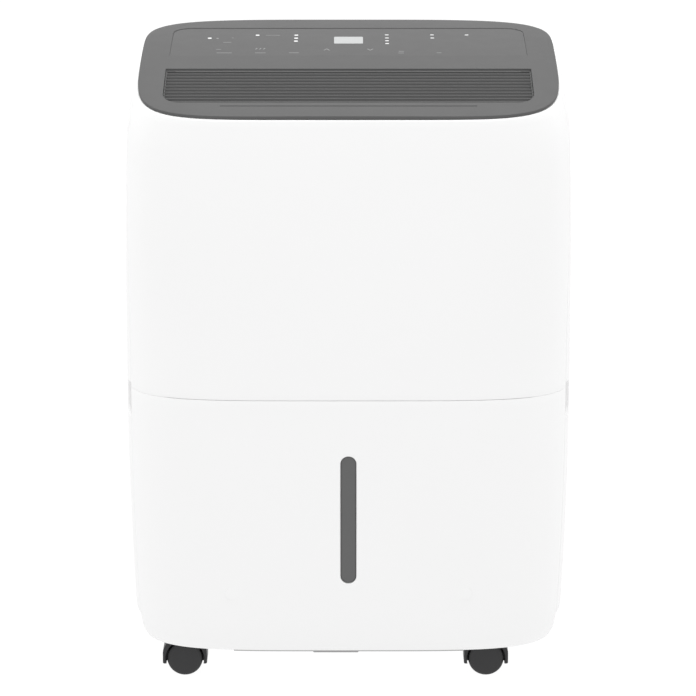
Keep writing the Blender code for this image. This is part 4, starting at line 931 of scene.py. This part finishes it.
def build_top_panel():
    angles = steps_between(-pi, pi, radians(1.0))[:-1]
    under = [panel_ring(angles, scale, 0.0, lambda angle: PANEL_THICKNESS)
             for scale in PANEL_UNDER_SCALES]
    edge = [panel_ring(angles, 1.0, 0.0, lambda angle: LIP_HEIGHT - GAP),
            panel_ring(angles, 1.0, 0.0, lambda angle: rolled_edge(angle) + 0.0001)]
    for inset, share in PANEL_ROLL:
        edge.append(panel_ring(angles, 1.0, inset, lambda angle, s=share: s * rolled_edge(angle)))
    over = [panel_ring(angles, tenths / 10, 0.0, lambda angle: 0.0) for tenths in range(9, 0, -1)]
    panel = to_object("top_panel_piece", lofted(under + edge + over), "panel_plastic")
    cut(panel, prism("z", vent_outline(0.0), *TOP_CUT))
    outline = film_outline(0.0)
    cut(panel, lofted([[(x, y, film_height(y) - FILM_RECESS) for x, y in outline],
                       [(x, y, TOP_CUT[1]) for x, y in outline]]))
    groove = bmesh.new()
    ends = [(side * GROOVE_HALF_WIDTH, GROOVE_Y, panel_height(GROOVE_Y)) for side in (-1, 1)]
    add_bar(groove, ends, GROOVE_SECTION, (0, 1, 0), (0, 0, 1))
    cut(panel, groove)
    dress(panel, "housing", "top_panel")


def build_control_film():
    """The touch area: a thin sheet that follows the panel's arch."""
    rows = steps_between(FILM_FRONT_Y, FILM_BACK_Y, 0.0020)
    shape = bmesh.new()

    def half_width(y):
        beyond = max(0.0, y - (FILM_BACK_Y - FILM_CORNER)) / FILM_CORNER
        return FILM_HALF_WIDTH - 0.0002 - FILM_CORNER * (1 - sqrt(max(0.0, 1 - beyond * beyond)))

    columns = [k / 40 - 1.0 for k in range(81)]
    edge = rows[:-1] + [FILM_BACK_Y - 0.0010, FILM_BACK_Y - 0.0004, FILM_BACK_Y - 0.0002]
    add_grid_solid(shape, columns, sorted(set(edge)),
                   lambda u, y: (u * half_width(y), y, film_height(y)),
                   lambda u, y: (u * half_width(y), y, film_height(y) - FILM_THICKNESS))
    film = to_object("control_film_piece", shape, "film_plastic")
    dress(film, "housing", "control_film")


def add_on_film(shape, outline, low, high):
    add_loft(shape, [[(x, y, film_height(y) + rise) for x, y in outline] for rise in (low, high)])


def build_display_window():
    width = DISPLAY_HIGH[0] - DISPLAY_LOW[0]
    depth = DISPLAY_HIGH[1] - DISPLAY_LOW[1]
    centre = (DISPLAY_LOW[0] + width / 2, DISPLAY_LOW[1] + depth / 2)
    rings = []
    for margin, rise in DISPLAY_EDGE:
        outline = moved(rounded_rectangle(width - 2 * margin, depth - 2 * margin, DISPLAY_RADIUS),
                        *centre)
        rings.append([(x, y, film_height(y) + rise) for x, y in outline])
    window = to_object("display_window_piece", lofted(rings), "display_plastic")
    dress(window, "housing", "display_window")


def build_indicators():
    """The small lit windows over the heads of the light guide."""
    shape = bmesh.new()
    for x, y in LENS_PLACES:
        depth = LENS_SIZE[1] * (1.0 if x < 0 else RIGHT_LENS_SHARE)
        outline = moved(rounded_rectangle(LENS_SIZE[0], depth, LENS_RADIUS, 4), x, y)
        add_on_film(shape, outline, *LENS_RISE)
    indicators = to_object("indicator_windows", shape, "lens_plastic")
    dress(indicators, "housing")


def add_stroke(shape, start, end):
    """A printed line on the control area."""
    start = Vector(start)
    end = Vector(end)
    along = (end - start).normalized()
    across = Vector((-along.y, along.x)) * MARK_WIDTH / 2
    corners = [start + across, start - across, end - across, end + across]
    add_on_film(shape, [(corner.x, corner.y) for corner in corners], *MARK_RISE)


def build_marks():
    """Generic symbols: a dot, plain dashes, slanted bars and two arrow heads."""
    shape = bmesh.new()
    add_on_film(shape, moved(circle(MARK_DOT[0], 12), *MARK_DOT[1:]), *MARK_RISE)
    strokes = [((x, y), (end, y)) for x, end, y in MARK_DASHES]
    strokes += [((x, 0.0), (x + 0.0012, 0.0030)) for x in MARK_BAR_XS]
    for x, tip in MARK_ARROWS:
        base = MARK_ARROW_Y - tip * 0.0018
        top = MARK_ARROW_Y + tip * 0.0018
        strokes += [((x - 0.0022, base), (x, top)), ((x, top), (x + 0.0022, base))]
    for start, end in strokes:
        add_stroke(shape, start, end)
    marks = to_object("control_marks", shape, "mark_ink")
    dress(marks, "housing", slot="lens_plastic")


def vent_height(y):
    """The flat top of the vent's slats, sunk below the panel."""
    front = panel_height(VENT_FRONT_Y)
    back = panel_height(VENT_BACK_Y)
    part = (y - VENT_FRONT_Y) / (VENT_BACK_Y - VENT_FRONT_Y)
    return front + (back - front) * part - VENT_DROP


def slat_section(width, depth):
    """A slat with a rounded crest, as (back, up) pairs below its crest."""
    radius = width / 2
    foot = [(radius * 0.8, -depth), (-radius * 0.8 - SLAT_LEAN, -depth)]
    return foot + arc((0.0, -radius), radius, pi, -pi, 6)


def add_vent_bar(shape, low, high, depth):
    """A bar inside the outlet, from its floor to this depth below the slats' crests."""
    corners = [(low[0], low[1]), (high[0], low[1]), (high[0], high[1]), (low[0], high[1])]
    add_loft(shape, [[(x, y, vent_height(y) - down) for x, y in corners]
                     for down in (VENT_DEPTH, depth)])


def build_vent():
    """Slats across the outlet, held by a rim and by ribs that lie deep between them."""
    pitch = (VENT_BACK_Y - VENT_FRONT_Y) / VENT_SLOTS
    shape = bmesh.new()
    section = slat_section(SLAT_WIDTH, VENT_DEPTH)
    for row in range(VENT_SLOTS + 1):
        y = VENT_FRONT_Y + row * pitch
        z = vent_height(y)
        ends = [(side * (VENT_HALF_WIDTH + VENT_OVERLAP), y, z) for side in (-1, 1)]
        add_bar(shape, ends, section, (0, 1, 0), (0, 0, 1))
    slats = to_object("vent_grille_piece", shape, "vent_plastic")
    combine(slats, "INTERSECT", prism("z", vent_outline(0.0002), *TOP_CUT))
    rim = lofted([[(x, y, vent_height(y) - depth) for x, y in vent_outline(margin)]
                  for margin, depth in VENT_RIM], closed=True)
    for x in VENT_RIB_XS:
        add_vent_bar(rim, (x - VENT_RIB_HALF_WIDTH, VENT_FRONT_Y + VENT_OVERLAP),
                     (x + VENT_RIB_HALF_WIDTH, VENT_BACK_Y - VENT_OVERLAP), VENT_RIB_DEPTH)
    add_vent_bar(rim, (-VENT_LEDGE_HALF_WIDTH, VENT_BACK_Y - VENT_LEDGE),
                 (VENT_LEDGE_HALF_WIDTH, VENT_BACK_Y - 0.0003), 0.0001)
    attach(slats, rim)
    dress(slats, "housing", "vent_grille")


# ---------------------------------------------------------------- bucket

def slot_outline(margin):
    low, high = SLOT_Z
    width = SLOT_WIDTH - 2 * margin
    outline = rounded_rectangle(width, high - low - 2 * margin, width / 2 - 0.0001, 10)
    return moved(outline, 0.0, (low + high) / 2)


def on_front(outline, inset):
    return [(x, front_y(x, z, inset), z) for x, z in outline]


def build_bucket_front():
    cover = casing_sheet("bucket_front_piece", *FRONT_SPAN, lambda angle: CASING_BOTTOM_Z,
                         lambda angle: BUCKET_SEAM_Z - GAP + seam_closing(angle),
                         BOTTOM_ROUND, SEAM_ROUND)
    additions = bmesh.new()
    for x in BOSS_XS:
        for z in BOSS_ZS:
            add_prism(additions, "y", moved(circle(BOSS_RADIUS, 32), x, z), *BOSS_Y)
    unite(cover, additions)
    rings = [on_front(slot_outline(-0.0010), -0.0010)]
    rings += [on_front(slot_outline(-SLOT_ROUND * u), SLOT_ROUND * v) for u, v in quarter(4)]
    rings.append(on_front(slot_outline(0.0), 0.0080))
    cut(cover, lofted(rings))
    dress(cover, "bucket", "bucket_front")


def shadow_strip_point(angle, z, inset):
    x, y, _ = casing_point(angle, CASING_BOTTOM_Z + BOTTOM_ROUND, inset)
    return x, y, z


def build_shadow_strip():
    """A grey strip along the bucket front's lower edge: painted shadow where that edge lies in
    shade.
    """
    columns = steps_between(SHADOW_STRIP_SPAN[0], SHADOW_STRIP_SPAN[1], COLUMN_STEP)
    shape = bmesh.new()
    add_grid_solid(shape, columns, SHADOW_STRIP_Z, lambda angle, z: shadow_strip_point(angle, z, SHADOW_STRIP_INSET[0]),
                   lambda angle, z: shadow_strip_point(angle, z, SHADOW_STRIP_INSET[1]))
    shadow_strip = to_object("bucket_hem", shape, "hem_plastic")
    dress(shadow_strip, "bucket", slot="inner_plastic")


def build_pull_lip():
    """A lip in the middle of the painted shadow strip, where fingers reach to pull the bucket; its
    grey is painted shade.
    """
    lip = to_object("pull_lip", prism("y", PULL_LIP, *PULL_LIP_Y), "lip_plastic")
    soften(lip, FINE_SOFTENING)
    dress(lip, "bucket", slot="inner_plastic")


def build_bucket_window():
    """The smoked level window, a little below the surface with a rounded edge."""
    rings = [on_front(slot_outline(margin), inset) for margin, inset in BUCKET_WINDOW_EDGE]
    window = to_object("bucket_window_piece", lofted(rings), "smoked_plastic")
    dress(window, "bucket", "bucket_window")


def tub_ring(margin, z):
    outline = rounded_rectangle(TUB_SIZE[0] - 2 * margin, TUB_SIZE[1] - 2 * margin,
                                TUB_RADIUS - margin, 12)
    return [(x, y + TUB_Y, z) for x, y in outline]


def build_bucket_tub():
    low, high = TUB_Z
    outside, inside = TUB_FLOOR_MARGINS
    rings = [tub_ring(TUB_DRAFT + outside, low), tub_ring(TUB_DRAFT + TUB_ROUND, low)]
    rings += [tub_ring(TUB_DRAFT + TUB_ROUND * u, low + TUB_ROUND * v)
              for u, v in quarter(5)[1:]]
    rings += [tub_ring(0.0004, high - 0.0060), tub_ring(0.0, high - 0.0055),
              tub_ring(0.0, high - 0.0006), tub_ring(0.0005, high),
              tub_ring(TUB_WALL - 0.0005, high), tub_ring(TUB_WALL, high - 0.0006)]
    rings += [tub_ring(TUB_DRAFT + TUB_WALL + TUB_ROUND * v, low + TUB_WALL + TUB_ROUND * u)
              for u, v in quarter(5)]
    rings.append(tub_ring(TUB_DRAFT + inside, low + TUB_WALL))
    tub = to_object("bucket_tub_piece", lofted(rings), "bucket_plastic")
    dress(tub, "bucket", "bucket_tub")


def bail_path():
    """The bail's middle line: two arms joined by a bar with round corners."""
    half = HANDLE_HALF_WIDTH - HANDLE_BAR / 2
    back = HANDLE_PIVOT[1] + 0.0028
    front = HANDLE_PIVOT[1] - HANDLE_REACH + HANDLE_BAR / 2
    points = [(half, back)]
    for side in (1, -1):
        bend = [(side * (half - HANDLE_BEND * v), front + HANDLE_BEND * u) for u, v in quarter(8)]
        points += bend if side > 0 else reversed(bend)
    points.append((-half, back))
    return points


def build_bucket_handle():
    """A round bail with its two pins."""
    path = [Vector((x, y, HANDLE_PIVOT[2])) for x, y in bail_path()]
    radius = HANDLE_BAR / 2
    rings = []
    for k, point in enumerate(path):
        before = path[max(k - 1, 0)]
        after = path[min(k + 1, len(path) - 1)]
        direction = (after - before).normalized()
        side = direction.cross(Vector((0, 0, 1)))
        rings.append([point + radius * (cos(a) * side + sin(a) * Vector((0, 0, 1)))
                      for a in (2 * pi * j / 20 for j in range(20))])
    shape = lofted(rings)
    for side in (-1, 1):
        near, far = [side * (HANDLE_HALF_WIDTH + reach) for reach in HANDLE_PIN_ENDS]
        pin = [(HANDLE_PIN_RADIUS, near), (HANDLE_PIN_RADIUS, far - side * HANDLE_PIN_ROUND),
               (HANDLE_PIN_RADIUS - HANDLE_PIN_ROUND, far)]
        add_turned(shape, "x", HANDLE_PIVOT[1:], pin, 24)
    bail = to_object("bucket_handle_piece", shape, "bucket_plastic")
    dress(bail, "bucket_bail", "bucket_handle")


# ---------------------------------------------------------------- back

def build_intake_grille():
    """A curved frame with thin slats and three upright ribs behind them."""
    half = WINDOW_HALF_WIDTH - GRILLE_GAP
    low = WINDOW_LOW_Z + GRILLE_GAP
    high = WINDOW_HIGH_Z - GRILLE_GAP
    shape = bmesh.new()
    add_grid_solid(shape, steps_between(-half, half, 0.0060), steps_between(low, high, 0.0150),
                   lambda x, z: (x, back_y(x, z), z),
                   lambda x, z: (x, back_y(x, z, GRILLE_THICKNESS), z))
    grille = to_object("intake_grille_piece", shape, "white_plastic")
    cut(grille, prism("y", window_outline(GRILLE_GAP + GRILLE_BORDER, WINDOW_RADIUS),
                      *GRILLE_CUT))
    soften(grille, GRILLE_SOFTENING)
    bars = bmesh.new()
    inner = GRILLE_BORDER - GRILLE_OVERLAP
    xs = steps_between(-half + inner, half - inner, 0.0060)
    zs = steps_between(low + inner, high - inner, 0.0080)
    section = [(GRILLE_SLAT[0] * u, GRILLE_SLAT[1] * v) for u, v in circle(1.0, 10)]
    pitch = (high - low - 2 * GRILLE_BORDER) / GRILLE_SLATS
    for row in range(1, GRILLE_SLATS):
        z = low + GRILLE_BORDER + row * pitch
        path = [(x, back_y(x, z) - GRILLE_SLAT_INSET, z) for x in xs]
        add_bar(bars, path, section, (0, 1, 0), (0, 0, 1))
    for x in GRILLE_RIB_XS:
        path = [(x, back_y(x, z) - GRILLE_RIB_INSET, z) for z in zs]
        add_bar(bars, path, GRILLE_RIB, (1, 0, 0), (0, 1, 0))
    slats = to_object("intake_slats", bars, "white_plastic")
    dress(grille, "filter", "intake_grille")
    dress(slats, "filter")


def cross_outline():
    """The cross in a screw's head, a quarter at a time."""
    reach, half_width = SCREW_CROSS
    corner = [(reach, half_width), (half_width, half_width), (half_width, reach)]
    points = []
    for _ in range(4):
        points += corner
        corner = [(-v, u) for u, v in corner]
    return points


def build_screws():
    """Cross-headed screws that hold the rear shell, low down and under the top."""
    heads = bmesh.new()
    crosses = bmesh.new()
    for x, z in SCREW_PLACES:
        face = back_y(x, z)
        add_turned(heads, "y", (x, z), [(radius, face + rise) for radius, rise in SCREW_HEAD], 32)
        add_prism(crosses, "y", moved(cross_outline(), x, z), face + 0.0003, face + 0.0020)
    screws = to_object("rear_screws", heads, "steel")
    cut(screws, crosses)
    dress(screws, "housing")


# ---------------------------------------------------------------- casters

def caster_places():
    return {"front_left": (-CASTER_X, -CASTER_Y), "front_right": (CASTER_X, -CASTER_Y),
            "rear_left": (-CASTER_X, CASTER_Y), "rear_right": (CASTER_X, CASTER_Y)}


def hood_outline(margin=0.0):
    """An arch over the wheels seen along the axle; its two feet are rounded."""
    low, high = HOOD_Z[0], HOOD_Z[1] - margin
    half = HOOD_HALF_LENGTH - margin
    radius = HOOD_CROWN - margin
    foot_z = low + margin + HOOD_FOOT
    crown_z = high - radius
    return (arc((half - HOOD_FOOT, foot_z), HOOD_FOOT, -pi / 2, pi / 2, 8)
            + arc((half - radius, crown_z), radius, 0.0, pi / 2, 12)
            + arc((radius - half, crown_z), radius, pi / 2, pi / 2, 12)
            + arc((HOOD_FOOT - half, foot_z), HOOD_FOOT, -pi, pi / 2, 8))


def build_hood(label, x, y):
    wheel_x = x - CASTER_TRAIL
    rings = []
    for side in (-1, 1):
        turns = quarter(4) if side < 0 else reversed(quarter(4))
        for margin, inset in turns:
            along = y + side * (HOOD_HALF_WIDTH - HOOD_ROUND * inset)
            outline = moved(hood_outline(HOOD_ROUND * margin), wheel_x, 0.0)
            rings.append([(u, along, v) for u, v in outline])
    hood = to_object(label + "_hood_piece", lofted(rings), "caster_plastic")
    pockets = bmesh.new()
    for side in (-1, 1):
        add_turned(pockets, "y", (wheel_x, WHEEL_RADIUS),
                   [(radius, y + side * along) for radius, along in HOOD_POCKET], 96)
    cut(hood, pockets)
    holes = bmesh.new()
    add_prism(holes, "y", moved(circle(AXLE_RADIUS + 0.0002, 32), wheel_x, WHEEL_RADIUS),
              y - 0.006, y + 0.006)
    radius, low, high = STEM_HOLE
    add_prism(holes, "z", moved(circle(radius, 32), x, y), low, high)
    cut(hood, holes)
    dress(hood, label, label + "_hood")


def wheel_profile(centre_y, side):
    """A wheel from its domed outer face round the tread to its hollow inner face."""
    half = WHEEL_HALF_WIDTH
    radius = WHEEL_RADIUS
    profile = [(0.0004, half), (0.0050, half - 0.00010), (0.0090, half - 0.00030),
               (0.0118, half - 0.00060), (0.0122, half - 0.00066), (0.0125, half - 0.00090),
               (0.0130, half - 0.00105), (0.0136, half - 0.0015), (radius - 0.0001, half - 0.0022),
               (radius, half - 0.0030), (radius, -half + 0.0012), (radius - 0.0002, -half + 0.0006),
               (radius - 0.0007, -half + 0.0001), (radius - 0.0012, -half),
               (0.0112, -half), (0.0106, -half + 0.0022), (0.0056, -half + 0.0022),
               (0.0050, -half), (AXLE_RADIUS + 0.00015, -half),
               (AXLE_RADIUS + 0.00015, half - 0.0024), (0.0004, half - 0.0024)]
    return [(r, centre_y + side * along) for r, along in profile]


def build_wheel(label, place_name, x, y, side):
    centre_y = y + side * WHEEL_OFFSET
    shape = bmesh.new()
    add_turned(shape, "y", (x - CASTER_TRAIL, WHEEL_RADIUS), wheel_profile(centre_y, side), 96)
    wheel = to_object(f"{label}_{place_name}_piece", shape, "wheel_plastic", 50)
    body = label.replace("_caster", "") + "_" + place_name
    dress(wheel, body, f"{label}_{place_name}")


def build_casters():
    for name, (x, y) in caster_places().items():
        label = name + "_caster"
        build_hood(label, x, y)
        build_wheel(label, "front_wheel", x, y, -1)
        build_wheel(label, "back_wheel", x, y, 1)
        for part in ("stem", "axle"):
            refine(f"{label}_{part}", "steel", FINE_SOFTENING)


# ---------------------------------------------------------------- inner parts

# The material of each inner node and how far its edges are softened.
INNER_LOOKS = {
    "base_pan": ("inner_plastic", 0.0006),
    "mid_deck": ("inner_plastic", 0.0004),
    "bay_wall": ("inner_plastic", 0.0004),
    "light_guide": ("lens_plastic", 0.0002),
    "control_board": ("board_green", 0.0002),
    "fan_scroll": ("inner_plastic", 0.0003),
    "fan_impeller": ("caster_plastic", 0.0002),
    "fan_motor": ("steel", 0.0006),
    "coil_bulkhead": ("inner_plastic", 0.0004),
    "condenser": ("fin_aluminium", 0.0003),
    "evaporator": ("fin_aluminium", 0.0003),
    "drip_tray": ("inner_plastic", 0.0003),
    "compressor": ("black_paint", 0.0010),
    "compressor_mount": ("rubber", 0.0004),
    "discharge_pipe": ("copper", 0.0002),
    "suction_pipe": ("copper", 0.0002),
    "capillary_tube": ("copper", 0.0001),
    "capacitor": ("steel", 0.0005),
    "electrical_box": ("caster_plastic", 0.0010),
    "humidity_sensor": ("bucket_plastic", 0.0004),
    "bucket_sensor": ("caster_plastic", 0.0004),
    "filter_frame": ("panel_plastic", 0.0004),
    "drain_cap": ("panel_plastic", 0.0005),
    "cord_gland": ("rubber", 0.0003),
    "bucket_lid": ("bucket_plastic", 0.0004),
    "bucket_float": ("display_plastic", 0.0008),
}


def build_inner_parts():
    for node, (slot, width) in INNER_LOOKS.items():
        refine(node, slot, width)
    mesh_sheet = frame["nodes"]["filter_mesh"]
    mesh_sheet.data.materials.clear()
    mesh_sheet.data.materials.append(look("filter_fabric"))


# ---------------------------------------------------------------- studio

def build_floor():
    shape = bmesh.new()
    shape.faces.new([shape.verts.new((u * FLOOR_SIZE, v * FLOOR_SIZE, 0.0))
                     for u, v in ((-1, -1), (1, -1), (1, 1), (-1, 1))])
    floor = to_object("floor", shape, "floor_paper")


def build_camera():
    data = bpy.data.cameras.new("camera")
    data.sensor_width = CAMERA_SENSOR
    data.lens = CAMERA_LENS
    data.shift_x = CAMERA_SHIFT_X
    data.clip_end = 100.0
    camera = bpy.data.objects.new("camera", data)
    camera.location = CAMERA_PLACE
    camera.rotation_euler = (pi / 2 - CAMERA_DOWN, 0.0, 0.0)
    bpy.context.scene.collection.objects.link(camera)
    bpy.context.scene.camera = camera


def add_lamp(name, place, size, power):
    data = bpy.data.lights.new(name, "AREA")
    data.shape = "RECTANGLE"
    data.size = size[0]
    data.size_y = size[1]
    data.energy = power
    lamp = bpy.data.objects.new(name, data)
    lamp.location = place
    lamp.rotation_euler = (Vector(LAMP_TARGET) - Vector(place)).to_track_quat("-Z", "Y").to_euler()
    bpy.context.scene.collection.objects.link(lamp)


def build_light():
    world = bpy.data.worlds.new("studio")
    world.use_nodes = True
    background = world.node_tree.nodes["Background"]
    background.inputs["Color"].default_value = (1.0, 1.0, 1.0, 1.0)
    seen = add_node(world.node_tree, "ShaderNodeLightPath").outputs["Is Camera Ray"]
    strength = spread(world.node_tree, seen, SKY_STRENGTH, 1.0)
    world.node_tree.links.new(strength, background.inputs["Strength"])
    bpy.context.scene.world = world
    bpy.context.scene.view_settings.view_transform = "Standard"
    for name, place, size, power in LAMPS:
        add_lamp(name, place, size, power)


# ---------------------------------------------------------------- assembly

def main():
    build_front_cover()
    build_rear_shell()
    for build in (build_carry_handle, build_finger_scoop):
        build(-1, "left")
        build(1, "right")
    build_top_panel()
    build_control_film()
    build_display_window()
    build_indicators()
    build_marks()
    build_vent()
    build_bucket_front()
    build_shadow_strip()
    build_pull_lip()
    build_bucket_window()
    build_bucket_tub()
    build_bucket_handle()
    build_intake_grille()
    build_screws()
    build_casters()
    build_inner_parts()
    build_floor()
    build_camera()
    build_light()


main()
